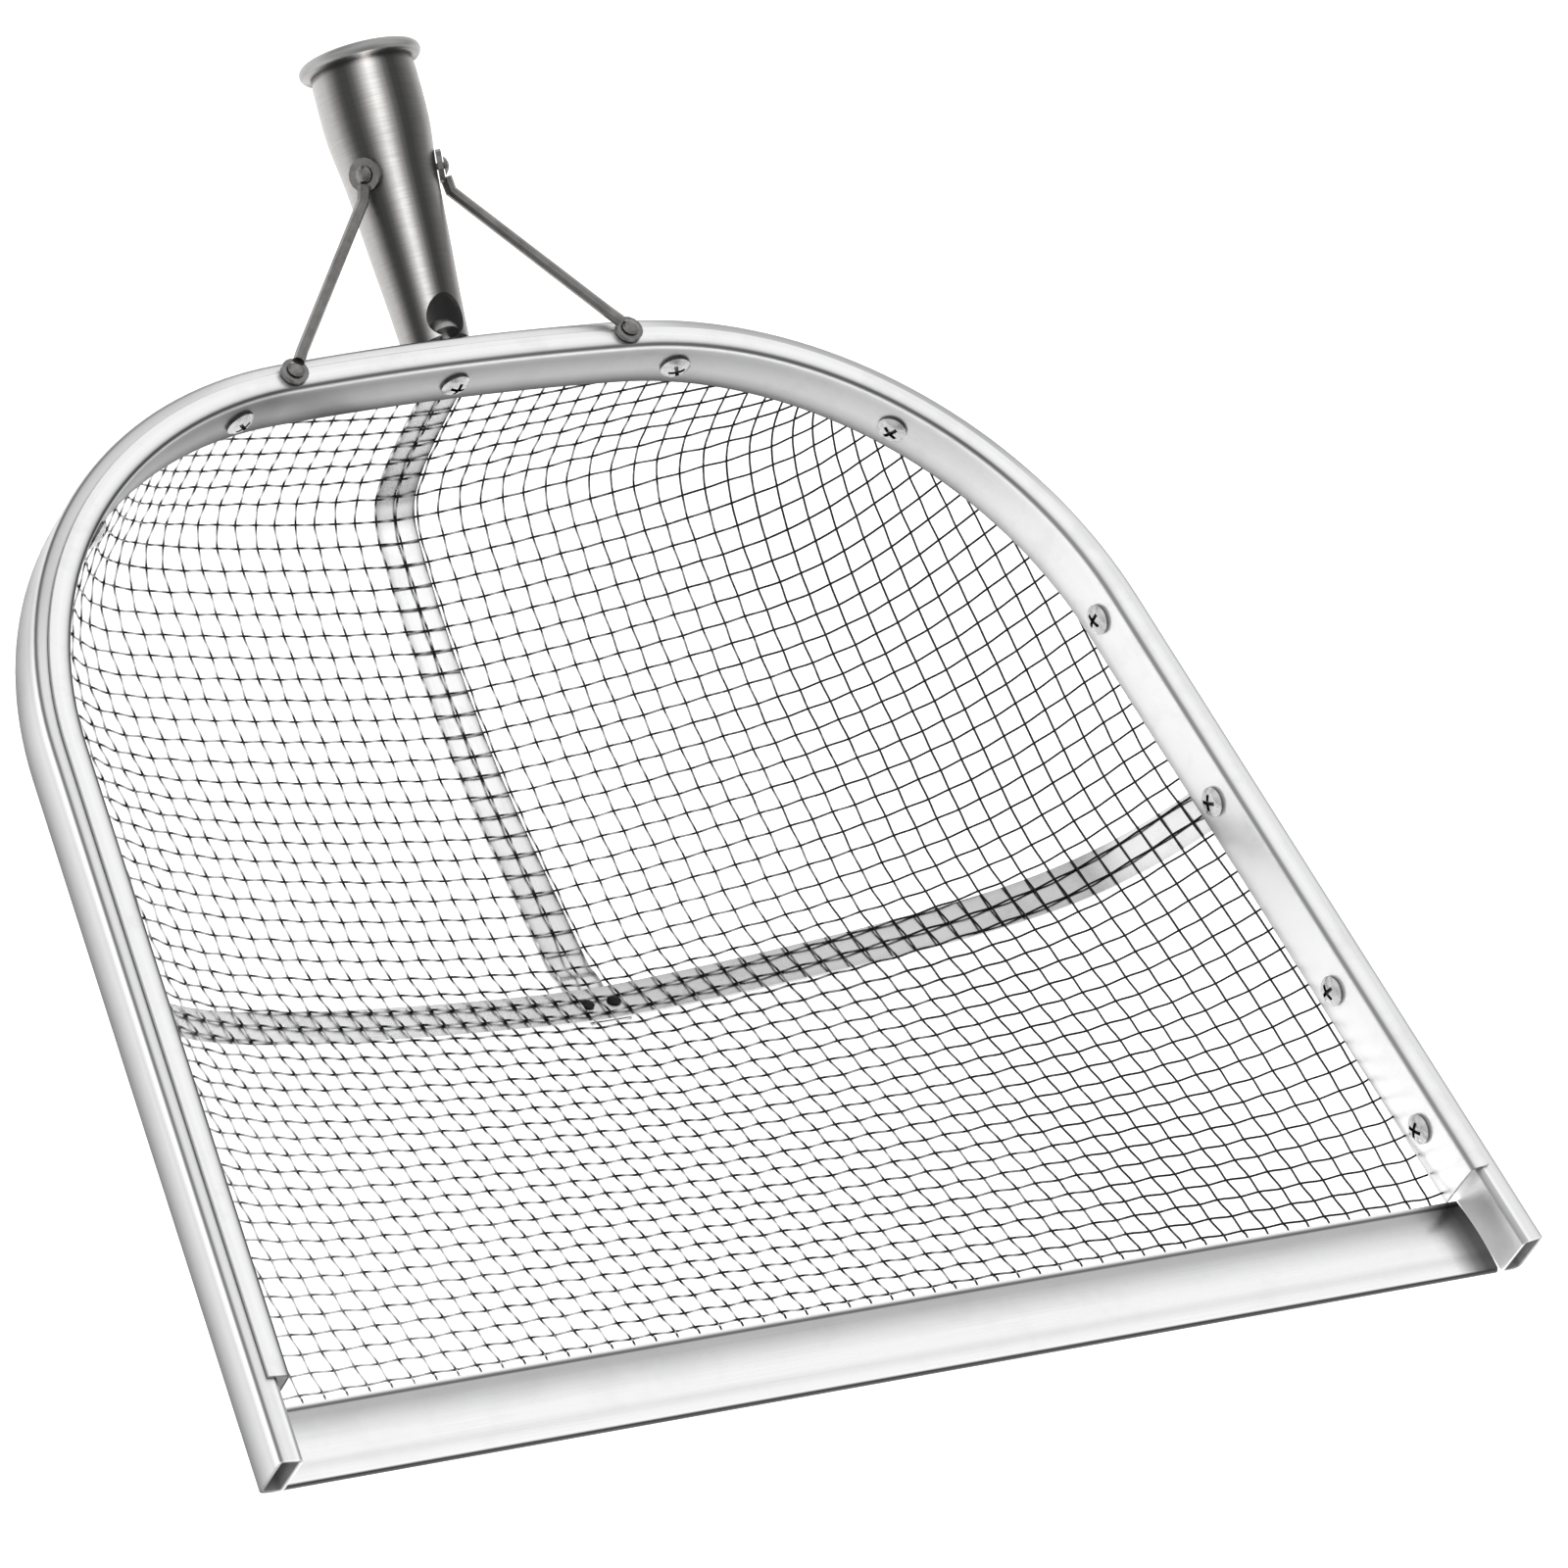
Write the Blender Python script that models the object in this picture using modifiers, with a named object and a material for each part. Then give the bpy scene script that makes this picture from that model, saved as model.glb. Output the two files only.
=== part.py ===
"""Scoop-shaped soil sieve: a bent tube frame with a pressed wire-mesh basket and a handle socket.

Local frame: X along the blade, Y from the blade to the handle, Z up. The mouth plane of the
frame tube is y = 0 and the tube's top face is z = 0. An empty then moves the whole sieve so that
the flat run of the long strap, on which the sieve rests, is centred on the world origin.
"""
import math

import bmesh
import bpy
from mathutils import Matrix, Vector

# Driving dimensions, in metres
FRAME_WIDTH = 0.376          # over the outer edges of the two mouths
ARM_LENGTH = 0.2066          # straight part of each arm
ARM_TAPER = 0.1203           # sideways run of an arm per metre of length, towards the back
CORNER_RADIUS = 0.118        # outer radius of the two rear corners
BACK_RADIUS = 0.9536         # outer radius of the shallow back bow
TUBE_HEIGHT = 0.015
TUBE_WIDTH = 0.0068
TUBE_WALL = 0.0011
TUBE_EDGE = 0.0016           # outer edge radius of the tube section
GAP = 0.0003                 # clearance that neighbours keep
SHEET = 0.0008               # strip and blade sheet
STRAP_THICKNESS = 0.0006
STRAP_WIDTH = 0.012
MESH_THICKNESS = 0.0005      # envelope of the woven wire
LIP_WIDTH = 0.0060           # top lip of the clamp strip
BLADE_DEPTH = 0.0214         # front edge to back edge
BLADE_CROWN = 0.0007
BASKET_DEPTH = 0.0565        # of the floor below the mesh rim
SLOPE = 0.4073               # fall of the mesh behind the blade
SLOPE_BLEND = 0.005          # rounding of the mesh between the slope and the floor
STRAP_BEND = 0.0002          # the same for the long strap, which is bent sharply there
CROSS_STRAP_Y = 0.147
BACK_RISE_Y = 0.202          # from here the floor starts to rise to the back
BACK_RISE_LENGTH = 0.100
BACK_RISE = 0.30
SIDE_BOW = 0.45
SIDE_BOW_POWER = 1.4
WALL_RATE_SIDE = 57.0        # 1 / metre, how fast the basket wall drops inside the rim
WALL_RATE_BACK = 400.0
SCREW_STATIONS = (0.0, 0.066, 0.128, 0.2035, 0.263, 0.324, 0.368)
SCREW_HEAD_RADIUS = 0.0040
SCREW_HEAD_HEIGHT = 0.0022
SCREW_SHANK_RADIUS = 0.0015
SCREW_LENGTH = 0.0062
SOCKET_TILT = math.radians(17.5)
SOCKET_FOOT_Z = -0.0084      # axis height at the back face of the tube
SOCKET_WALL = 0.0012
SOCKET_PROFILE = ((0.0, 0.0087), (0.0153, 0.0097), (0.0294, 0.0108), (0.0476, 0.0121),
                  (0.0618, 0.0137), (0.0780, 0.0137))
RIM_RADIUS = 0.0019
BRACE_FOOT_X = 0.0505
BRACE_FOOT_OFFSET = 0.0049   # from the outer face of the tube
BRACE_TOP_STATION = 0.0480   # along the socket axis
BRACE_TOP_ANGLE = math.radians(60)
ROD_RADIUS = 0.0016
EYE_THICKNESS = 0.0014
EYE_TOP_RADIUS = 0.0045
EYE_FOOT_RADIUS = 0.0037
RIVET_HEAD_RADIUS = 0.0024
RIVET_SHANK_RADIUS = 0.0009
BOLT_HEAD_RADIUS = 0.0038
BOLT_SHANK_RADIUS = 0.0015
BOLT_Z = -0.0036
REST_Y = 0.182               # centre of the flat run of the long strap
SCREW_HEAD_RIM = 0.0007
SCREW_HOLE_LENGTH = 0.0075
RECESS_SIZE = 0.0042
RECESS_DEPTH = 0.0006
RECESS_ARM = 0.26            # arm width of the recess, as a share of its size
RECESS_TIP = 0.45            # length of its tip, as a share of its size
RECESS_TURN = math.radians(37)
RIVET_HEAD_HEIGHT = 0.0013
RIVET_LENGTH = 0.0043
RIVET_RIM = 0.0002
STRAP_RIVET_X = 0.0040
STRAP_RIVET_RADIUS = 0.0019
STRAP_RIVET_HEIGHT = 0.0010
STRAP_RIVET_LENGTH = 0.0030
FOOT_WALL = 0.0016           # end wall of the socket, against the tube
FOOT_RUN = 0.006             # how far the socket blank runs on below its foot
BEAD_OFFSET = 0.0006         # centre of the rolled rim, outside the mouth radius
BEAD_TURN = math.radians(225)
BEAD_STEPS = 6
SOCKET_SEGMENTS = 28
NOTCH_RADIUS = 0.0060
NOTCH_LENGTH = 0.03
NOTCH_Y = 0.0050             # centre of the notch behind the tube
BOLT_HEAD_HEIGHT = 0.0030
BOLT_RIM = 0.0008
BOLT_LENGTH = 0.0050
DRILL_LENGTH = 0.006
EYE_DRILL_LENGTH = 0.008
CELL_DRILL_LENGTH = 0.004
DRILL_SEGMENTS = 8
ROD_BEND = 0.003             # straight run of a rod beside its eye
ROD_SHARE = 0.02             # share of the rod's length that belongs to the bend
ROD_REACH = 0.0030           # from the eye's centre to the end of the rod
LAP_MARGIN = 0.001           # the long strap stays lapped this far behind the cross strap
LAP_RUN = 0.004              # over this length it comes up to the mesh
RIM_FRACTIONS = (0.0, 0.3, 0.55, 0.75, 0.87, 0.94, 0.972, 0.99, 1.0)
ARM_ROWS = 9
FLANGE_TOP = -0.0012         # top of the clamped margin of the mesh
MARGIN_TOP = -0.0028         # top of the strap ends inside the clamped margin
WIDTH_STEPS = (-0.5, 0.0, 0.5)
TRIM_HALF = 0.03             # half width of the blocks that trim the socket's foot
TRIM_DEPTH = 0.02
TRIM_LOW = -0.05
CAVITY_TOP = 0.12
MERGE = 1e-6

# Sizes that follow from those above
STRAP_OFFSET = MESH_THICKNESS / 2 + GAP + STRAP_THICKNESS / 2
MESH_RIM = TUBE_WIDTH + GAP + STRAP_THICKNESS + GAP + MESH_THICKNESS / 2
STRIP_FACE = MESH_RIM + MESH_THICKNESS / 2 + GAP + SHEET
STRIP_START = BLADE_DEPTH + GAP + ARM_TAPER * STRIP_FACE
MESH_START = STRIP_START
LAP_OFFSET = STRAP_THICKNESS + GAP
MESH_Z = -TUBE_HEIGHT - GAP - MESH_THICKNESS / 2
FLOOR_START = MESH_START + (BASKET_DEPTH + STRAP_BEND) / SLOPE
REST_Z = MESH_Z - BASKET_DEPTH - STRAP_OFFSET - STRAP_THICKNESS / 2

TAPER_ANGLE = math.atan(ARM_TAPER)
ARM_DIRECTION = Vector((-math.sin(TAPER_ANGLE), math.cos(TAPER_ANGLE)))
ARM_NORMAL = Vector((math.cos(TAPER_ANGLE), math.sin(TAPER_ANGLE)))
MOUTH = Vector((FRAME_WIDTH / 2, 0.0))
CORNER_CENTRE = MOUTH + ARM_DIRECTION * ARM_LENGTH - ARM_NORMAL * CORNER_RADIUS
BACK_HALF_ANGLE = math.asin(CORNER_CENTRE.x / (BACK_RADIUS - CORNER_RADIUS))
BACK_CENTRE_Y = CORNER_CENTRE.y - (BACK_RADIUS - CORNER_RADIUS) * math.cos(BACK_HALF_ANGLE)
BACK_Y = BACK_CENTRE_Y + BACK_RADIUS


def collection(name):
    """A new collection in the scene."""
    group = bpy.data.collections.new(name)
    bpy.context.scene.collection.children.link(group)
    return group


def material(name, colour, roughness, metallic):
    """A plain Principled material."""
    mat = bpy.data.materials.new(name)
    mat.use_nodes = True
    shader = mat.node_tree.nodes["Principled BSDF"]
    shader.inputs["Base Color"].default_value = (*colour, 1.0)
    shader.inputs["Roughness"].default_value = roughness
    shader.inputs["Metallic"].default_value = metallic
    mat.diffuse_color = (*colour, 1.0)
    return mat


def place(name, mesh, mat):
    """A named part of the sieve that uses the mesh."""
    part = bpy.data.objects.new(name, mesh)
    PARTS.objects.link(part)
    part.parent = BASE
    mesh.materials.clear()
    mesh.materials.append(mat)
    return part


def cutter(name, mesh):
    """A cutting body, kept out of the model."""
    tool = bpy.data.objects.new(name, mesh)
    CUTTERS.objects.link(tool)
    tool.parent = BASE
    tool.hide_render = True
    tool.display_type = "WIRE"
    return tool


def boolean(part, tool, operation="DIFFERENCE"):
    """Cut, join or trim a part with another body."""
    modifier = part.modifiers.new(tool.name, "BOOLEAN")
    modifier.operation = operation
    modifier.object = tool
    return modifier


def smooth(mesh, angle=math.radians(35)):
    """Smooth shading that keeps the sharp edges."""
    mesh.shade_smooth()
    mesh.set_sharp_from_angle(angle=angle)


def finish_mesh(name, bm):
    """Turn a bmesh into a mesh with its faces pointing out."""
    bmesh.ops.recalc_face_normals(bm, faces=bm.faces)
    mesh = bpy.data.meshes.new(name)
    bm.to_mesh(mesh)
    bm.free()
    return mesh


def box_mesh(name, low, high):
    """A box between two corners."""
    bm = bmesh.new()
    bmesh.ops.create_cube(bm, size=1.0)
    low = Vector(low)
    high = Vector(high)
    for vert in bm.verts:
        vert.co = Vector([low[i] + (high[i] - low[i]) * (vert.co[i] + 0.5) for i in range(3)])
    return finish_mesh(name, bm)


def cylinder_mesh(name, radius, length, segments=24):
    """A cylinder around Z, from z = 0 to z = length."""
    bm = bmesh.new()
    bmesh.ops.create_cone(bm, cap_ends=True, segments=segments, radius1=radius, radius2=radius,
                          depth=length, matrix=Matrix.Translation((0, 0, length / 2)))
    return finish_mesh(name, bm)


def curve_spline(curve, points, cyclic=False):
    """A poly spline through the points."""
    spline = curve.splines.new("POLY")
    spline.points.add(len(points) - 1)
    for target, point in zip(spline.points, points):
        target.co = (*point, 1.0)
    spline.use_cyclic_u = cyclic


def mesh_from_curve(name, curve):
    """The closed mesh of a bevelled curve, with its caps welded on."""
    source = bpy.data.objects.new(name + "_curve", curve)
    PARTS.objects.link(source)
    evaluated = source.evaluated_get(bpy.context.evaluated_depsgraph_get())
    mesh = bpy.data.meshes.new_from_object(evaluated)
    bpy.data.objects.remove(source)
    bm = bmesh.new()
    bm.from_mesh(mesh)
    bmesh.ops.remove_doubles(bm, verts=bm.verts, dist=MERGE)
    bpy.data.meshes.remove(mesh)
    return finish_mesh(name, bm)


def sweep(name, path, section):
    """Sweep a closed section, given as (inwards, up) points, along a plan path."""
    profile = bpy.data.curves.new(name + "_section", "CURVE")
    profile.dimensions = "2D"
    curve_spline(profile, [(-inwards, up, 0.0) for inwards, up in section], cyclic=True)
    profile_object = bpy.data.objects.new(name + "_section", profile)
    CUTTERS.objects.link(profile_object)
    curve = bpy.data.curves.new(name, "CURVE")
    curve.dimensions = "3D"
    curve.twist_mode = "Z_UP"
    curve.bevel_mode = "OBJECT"
    curve.bevel_object = profile_object
    curve.use_fill_caps = True
    curve_spline(curve, path)
    mesh = mesh_from_curve(name, curve)
    bpy.data.objects.remove(profile_object)
    return mesh


def rod(name, path, radius, resolution=2):
    """A round rod along a path."""
    curve = bpy.data.curves.new(name, "CURVE")
    curve.dimensions = "3D"
    curve.bevel_depth = radius
    curve.bevel_resolution = resolution
    curve.use_fill_caps = True
    curve_spline(curve, path)
    return mesh_from_curve(name, curve)


def turned(name, profile, segments, mat=None):
    """A body turned around Z from (radius, height) points that run from its top to its foot."""
    mesh = bpy.data.meshes.new(name)
    edges = [(i, i + 1) for i in range(len(profile) - 1)]
    mesh.from_pydata([(radius, 0.0, height) for radius, height in profile], edges, [])
    body = place(name, mesh, mat) if mat else cutter(name, mesh)
    screw = body.modifiers.new("turn", "SCREW")
    screw.steps = segments
    screw.render_steps = segments
    screw.use_merge_vertices = True
    screw.merge_threshold = MERGE
    screw.use_smooth_shade = True
    return body


def dome(radius, height, steps):
    """Profile of a domed head from its crown down to its edge."""
    sphere = (radius ** 2 + height ** 2) / (2 * height)
    half = math.asin(radius / sphere)
    angles = [half * i / steps for i in range(steps + 1)]
    return [(sphere * math.sin(a), height - sphere * (1 - math.cos(a))) for a in angles]


# Plan of the frame

def plan_half(offset, start_y=0.0, steps=10, back_steps=4):
    """Right half of the frame's plan, moved inwards by offset, from the mouth to the back."""
    mouth = MOUTH - ARM_NORMAL * offset
    end = mouth + ARM_DIRECTION * ARM_LENGTH
    start = mouth + ARM_DIRECTION * ((start_y - mouth.y) / ARM_DIRECTION.y)
    points = [start, end]
    first = TAPER_ANGLE
    last = math.pi / 2 - BACK_HALF_ANGLE
    radius = CORNER_RADIUS - offset
    for i in range(1, steps + 1):
        a = first + (last - first) * i / steps
        points.append(CORNER_CENTRE + radius * Vector((math.cos(a), math.sin(a))))
    for i in range(1, back_steps + 1):
        a = BACK_HALF_ANGLE * (1 - i / back_steps)
        bow = BACK_RADIUS - offset
        points.append(Vector((bow * math.sin(a), BACK_CENTRE_Y + bow * math.cos(a))))
    return points


def plan(offset, start_y=0.0):
    """Whole plan, from the right mouth round the back to the left mouth."""
    right = plan_half(offset, start_y)
    left = [Vector((-p.x, p.y)) for p in reversed(right[:-1])]
    return right + left


def plan_station(offset, station):
    """Point and outward normal at an arc length from the back centre, on the right side."""
    bow = BACK_RADIUS - offset
    corner = CORNER_RADIUS - offset
    bow_length = bow * BACK_HALF_ANGLE
    corner_length = corner * (math.pi / 2 - BACK_HALF_ANGLE - TAPER_ANGLE)
    if station <= bow_length:
        a = station / bow
        normal = Vector((math.sin(a), math.cos(a)))
        return Vector((0.0, BACK_CENTRE_Y)) + normal * bow, normal
    if station <= bow_length + corner_length:
        a = math.pi / 2 - BACK_HALF_ANGLE - (station - bow_length) / corner
        normal = Vector((math.cos(a), math.sin(a)))
        return CORNER_CENTRE + normal * corner, normal
    left_over = station - bow_length - corner_length
    point = MOUTH - ARM_NORMAL * offset + ARM_DIRECTION * (ARM_LENGTH - left_over)
    return point, ARM_NORMAL.copy()


def rim_distance(x, y):
    """Distance of a point inside the plan from the outer outline, and the outward normal there."""
    point = Vector((abs(x), y))
    from_corner = point - CORNER_CENTRE
    angle = math.atan2(from_corner.y, from_corner.x)
    from_back = point - Vector((0.0, BACK_CENTRE_Y))
    if from_back.y > 0 and math.atan2(from_back.x, from_back.y) < BACK_HALF_ANGLE:
        back = BACK_RADIUS - from_back.length
    else:
        back = math.inf
    arm = (MOUTH - point).dot(ARM_NORMAL)
    if from_corner.x > 0 and TAPER_ANGLE < angle < math.pi / 2 - BACK_HALF_ANGLE:
        return CORNER_RADIUS - from_corner.length, from_corner.normalized()
    if back < arm:
        return back, from_back.normalized()
    return arm, ARM_NORMAL.copy()


# Shape of the basket

def smooth_min(a, b, blend):
    """The smaller value, rounded over where the two meet."""
    h = max(blend - abs(a - b), 0.0) / blend
    return min(a, b) - h * h * blend / 4


def basket_z(x, y, blend=SLOPE_BLEND):
    """Height of the middle of the mesh inside the frame."""
    distance, normal = rim_distance(x, y)
    inside = max(distance - MESH_RIM, 0.0)
    front = smooth_min(SLOPE * (y - MESH_START), BASKET_DEPTH, blend)
    back = 1.0 - BACK_RISE * (max(y - BACK_RISE_Y, 0.0) / BACK_RISE_LENGTH) ** 2
    half = FRAME_WIDTH / 2 - MESH_RIM - ARM_TAPER * min(y, ARM_LENGTH)
    bow = 1.0 - SIDE_BOW * min(abs(x) / half, 1.0) ** SIDE_BOW_POWER
    rate = WALL_RATE_SIDE + (WALL_RATE_BACK - WALL_RATE_SIDE) * normal.y ** 4
    wall = 1.0 - math.exp(-rate * inside)
    return MESH_Z - max(front, 0.0) * back * bow * wall


def basket_normal(x, y, blend=SLOPE_BLEND):
    """Outward (downward) unit normal of the mesh surface."""
    step = 1e-4
    slope_x = (basket_z(x + step, y, blend) - basket_z(x - step, y, blend)) / (2 * step)
    slope_y = (basket_z(x, y + step, blend) - basket_z(x, y - step, blend)) / (2 * step)
    return Vector((slope_x, slope_y, -1.0)).normalized()


def below_basket(x, y, drop, blend=SLOPE_BLEND):
    """Point at a distance outside the mesh surface."""
    return Vector((x, y, basket_z(x, y, blend))) + basket_normal(x, y, blend) * drop


def rim_stations():
    """Points along the right half of the mesh rim, from the blade to the back centre."""
    rim = plan_half(MESH_RIM, MESH_START, steps=10, back_steps=6)
    return [rim[0].lerp(rim[1], i / ARM_ROWS) for i in range(ARM_ROWS)] + rim[1:]


def basket_mesh():
    """Half basket: rows run from the middle line to the rim and up the clamped margin."""
    stations = rim_stations()
    columns = len(RIM_FRACTIONS) + 1
    bm = bmesh.new()
    bmesh.ops.create_grid(bm, x_segments=columns - 1, y_segments=len(stations) - 1, size=0.5)
    for vert in bm.verts:
        column = round((vert.co.x + 0.5) * (columns - 1))
        edge = stations[round((vert.co.y + 0.5) * (len(stations) - 1))]
        if column == columns - 1:
            vert.co = (edge.x, edge.y, FLANGE_TOP)
            continue
        middle = Vector((0.0, min(edge.y, BACK_RISE_Y)))
        point = middle.lerp(edge, RIM_FRACTIONS[column])
        height = MESH_Z if column == columns - 2 else basket_z(point.x, point.y)
        vert.co = (point.x, point.y, height)
    bmesh.ops.remove_doubles(bm, verts=bm.verts, dist=MERGE)
    bmesh.ops.recalc_face_normals(bm, faces=bm.faces)
    low_front = {v for v in bm.verts if abs(v.co.y - MESH_START) < MERGE and v.co.z < MARGIN_TOP}
    front = [e for e in bm.edges if e.is_boundary and low_front.issuperset(e.verts)]
    tab = bmesh.ops.extrude_edge_only(bm, edges=front)["geom"]
    for vert in [g for g in tab if isinstance(g, bmesh.types.BMVert)]:
        vert.co.y = BLADE_DEPTH / 2
        vert.co.z = MESH_Z
    mesh = bpy.data.meshes.new("mesh_basket")
    bm.to_mesh(mesh)
    bm.free()
    return mesh


def add_basket(mat):
    """The pressed mesh as one thin closed shell."""
    mesh = basket_mesh()
    part = place("mesh_basket", mesh, mat)
    mirror = part.modifiers.new("mirror", "MIRROR")
    mirror.use_clip = True
    mirror.merge_threshold = 1e-5
    solid = part.modifiers.new("thickness", "SOLIDIFY")
    solid.thickness = MESH_THICKNESS
    solid.offset = 0.0
    solid.use_even_offset = True
    solid.thickness_clamp = 1.0
    return part


def add_band(name, rows, mat):
    """A flat band from rows of centre points, one row a station, thickened to both sides."""
    bm = bmesh.new()
    across = len(rows[0])
    bmesh.ops.create_grid(bm, x_segments=across - 1, y_segments=len(rows) - 1, size=0.5)
    for vert in bm.verts:
        column = round((vert.co.x + 0.5) * (across - 1))
        row = round((vert.co.y + 0.5) * (len(rows) - 1))
        vert.co = rows[row][column]
    bmesh.ops.recalc_face_normals(bm, faces=bm.faces)
    mesh = bpy.data.meshes.new(name)
    bm.to_mesh(mesh)
    bm.free()
    smooth(mesh)
    part = place(name, mesh, mat)
    solid = part.modifiers.new("thickness", "SOLIDIFY")
    solid.thickness = STRAP_THICKNESS
    solid.offset = 0.0
    solid.use_even_offset = True
    solid.thickness_clamp = 1.0
    return part


def add_cross_strap(mat):
    """Band from arm to arm, with both ends turned up behind the clamp strip."""
    lines = [CROSS_STRAP_Y + STRAP_WIDTH * t for t in WIDTH_STEPS]
    rim_x = [MOUTH.x - (MESH_RIM / ARM_NORMAL.x) - ARM_TAPER * y for y in lines]
    end_x = [x + STRAP_OFFSET / ARM_NORMAL.x for x in rim_x]
    for side in (-1, 1):
        half = []
        for f in RIM_FRACTIONS[:-1]:
            half.append([below_basket(side * x * f, y, STRAP_OFFSET) for x, y in zip(rim_x, lines)])
        half.append([Vector((side * x, y, MESH_Z)) for x, y in zip(end_x, lines)])
        half.append([Vector((side * x, y, MARGIN_TOP)) for x, y in zip(end_x, lines)])
        rows = half[::-1] if side < 0 else rows + half[1:]
    return add_band("cross_strap", rows, mat)


def add_long_strap(mat):
    """Band in the middle plane, lapped under the cross strap and turned up at the back.

    It is flat across its width, and its floor run is level, so the sieve can rest on it.
    """
    lap_end = CROSS_STRAP_Y + STRAP_WIDTH / 2 + LAP_MARGIN
    columns = [STRAP_WIDTH * t for t in WIDTH_STEPS]
    rows = []
    start = CROSS_STRAP_Y - STRAP_WIDTH / 2
    stations = [start, CROSS_STRAP_Y, lap_end, lap_end + LAP_RUN, FLOOR_START]
    rear = BACK_Y - MESH_RIM - BACK_RISE_Y
    stations += [BACK_RISE_Y + rear * f for f in RIM_FRACTIONS[:-1]]
    for y in stations:
        lap = LAP_OFFSET * min(max((lap_end + LAP_RUN - y) / LAP_RUN, 0.0), 1.0)
        centre = below_basket(0.0, y, STRAP_OFFSET + lap, STRAP_BEND)
        rows.append([centre + Vector((x, 0.0, 0.0)) for x in columns])
    bow = BACK_RADIUS - MESH_RIM + STRAP_OFFSET
    for z in (MESH_Z, MARGIN_TOP):
        rows.append([Vector((x, BACK_CENTRE_Y + math.sqrt(bow ** 2 - x ** 2), z)) for x in columns])
    return add_band("long_strap", rows, mat)


# Frame

def rounded_section(outer, inner, low, high, edge, steps=2):
    """Rounded rectangle between two offsets and two heights, as (offset, height) points."""
    points = []
    corners = ((inner - edge, high - edge, 0), (outer + edge, high - edge, 90),
               (outer + edge, low + edge, 180), (inner - edge, low + edge, 270))
    for cx, cz, start in corners:
        for i in range(steps + 1):
            a = math.radians(start + 90 * i / steps)
            points.append((cx + edge * math.cos(a), cz + edge * math.sin(a)))
    return points


def add_tube(mat):
    """The bent tube, hollow from mouth to mouth."""
    path = [(p.x, p.y, 0.0) for p in plan(0.0)]
    outer = sweep("frame_tube", path, rounded_section(0.0, TUBE_WIDTH, -TUBE_HEIGHT, 0.0, TUBE_EDGE))
    smooth(outer)
    tube = place("frame_tube", outer, mat)
    ends = [(p.x, p.y, 0.0) for p in plan(0.0, -0.01)]
    wall = TUBE_WALL
    hollow = rounded_section(wall, TUBE_WIDTH - wall, -TUBE_HEIGHT + wall, -wall, TUBE_EDGE - wall, 1)
    boolean(tube, cutter("tube_hollow", sweep("tube_hollow", ends, hollow)))
    return tube


def add_strip(mat):
    """The L-section strip: a leg down the inner face and a lip over the top."""
    low = -TUBE_HEIGHT
    high = GAP + SHEET
    leg = STRIP_FACE - SHEET
    section = [(STRIP_FACE, low), (STRIP_FACE, high), (STRIP_FACE - LIP_WIDTH, high),
               (STRIP_FACE - LIP_WIDTH, GAP), (leg, GAP), (leg, low)]
    path = [(p.x, p.y, 0.0) for p in plan(0.0, STRIP_START)]
    mesh = sweep("clamp_strip", path, section)
    smooth(mesh)
    return place("clamp_strip", mesh, mat)


def blade_section():
    """Sheet folded double around the mesh edge, as (y, z) points."""
    slot = MESH_THICKNESS / 2 + GAP
    nose = slot + SHEET
    steps = 6
    top = []
    for i in range(steps + 1):
        t = i / steps
        y = BLADE_DEPTH + (nose - BLADE_DEPTH) * t
        top.append((y, BLADE_CROWN * (1 - (2 * t - 1) ** 2)))
    upper = [(y, MESH_Z + nose + rise) for y, rise in top]
    lower_inner = [(y, MESH_Z + slot + rise) for y, rise in top[:-1]]
    fold = []
    for i in range(1, 6):
        a = math.pi / 2 + math.pi * i / 6
        fold.append((nose + nose * math.cos(a), MESH_Z + nose * math.sin(a)))
    low = [(nose, MESH_Z - nose), (BLADE_DEPTH, MESH_Z - nose),
           (BLADE_DEPTH, MESH_Z - slot), (nose + slot, MESH_Z - slot)]
    inner_fold = [(nose + slot, MESH_Z + slot)]
    return upper + fold + low + inner_fold + lower_inner[::-1]


def add_blade(mat):
    """The folded lip, its ends trimmed to the leaning arms."""
    bm = bmesh.new()
    section = blade_section()
    verts = [bm.verts.new((1.0, y, z)) for y, z in section]
    face = bm.faces.new(verts)
    swept = bmesh.ops.extrude_face_region(bm, geom=[face])["geom"]
    for vert in [g for g in swept if isinstance(g, bmesh.types.BMVert)]:
        vert.co.x = -1.0
    for vert in bm.verts:
        half = MOUTH.x - (TUBE_WIDTH + GAP) / ARM_NORMAL.x - ARM_TAPER * vert.co.y
        vert.co.x *= half
    mesh = finish_mesh("blade", bm)
    smooth(mesh)
    return place("blade", mesh, mat)


# Fasteners

def cross_recess(name, size, depth):
    """Tapered four-armed recess, its mouth at z = 0 and its tip below."""
    bm = bmesh.new()
    for turn in (0, 90):
        made = bmesh.ops.create_cube(bm, size=1.0)["verts"]
        for vert in made:
            length = size if vert.co.z > 0 else size * RECESS_TIP
            x = vert.co.x * length
            y = vert.co.y * size * RECESS_ARM
            z = vert.co.z * depth * 2
            vert.co = Matrix.Rotation(math.radians(turn), 3, "Z") @ Vector((x, y, z))
    return finish_mesh(name, bm)


def head_profile(head_radius, head_height, rim, shank_radius, length):
    """Domed head on a shank: head above z = 0, shank below."""
    crown = [(r, z + rim) for r, z in dome(head_radius, head_height - rim, 3)]
    return crown + [(head_radius, 0.0), (shank_radius, 0.0), (shank_radius, -length),
                    (0.0, -length)]


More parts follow.
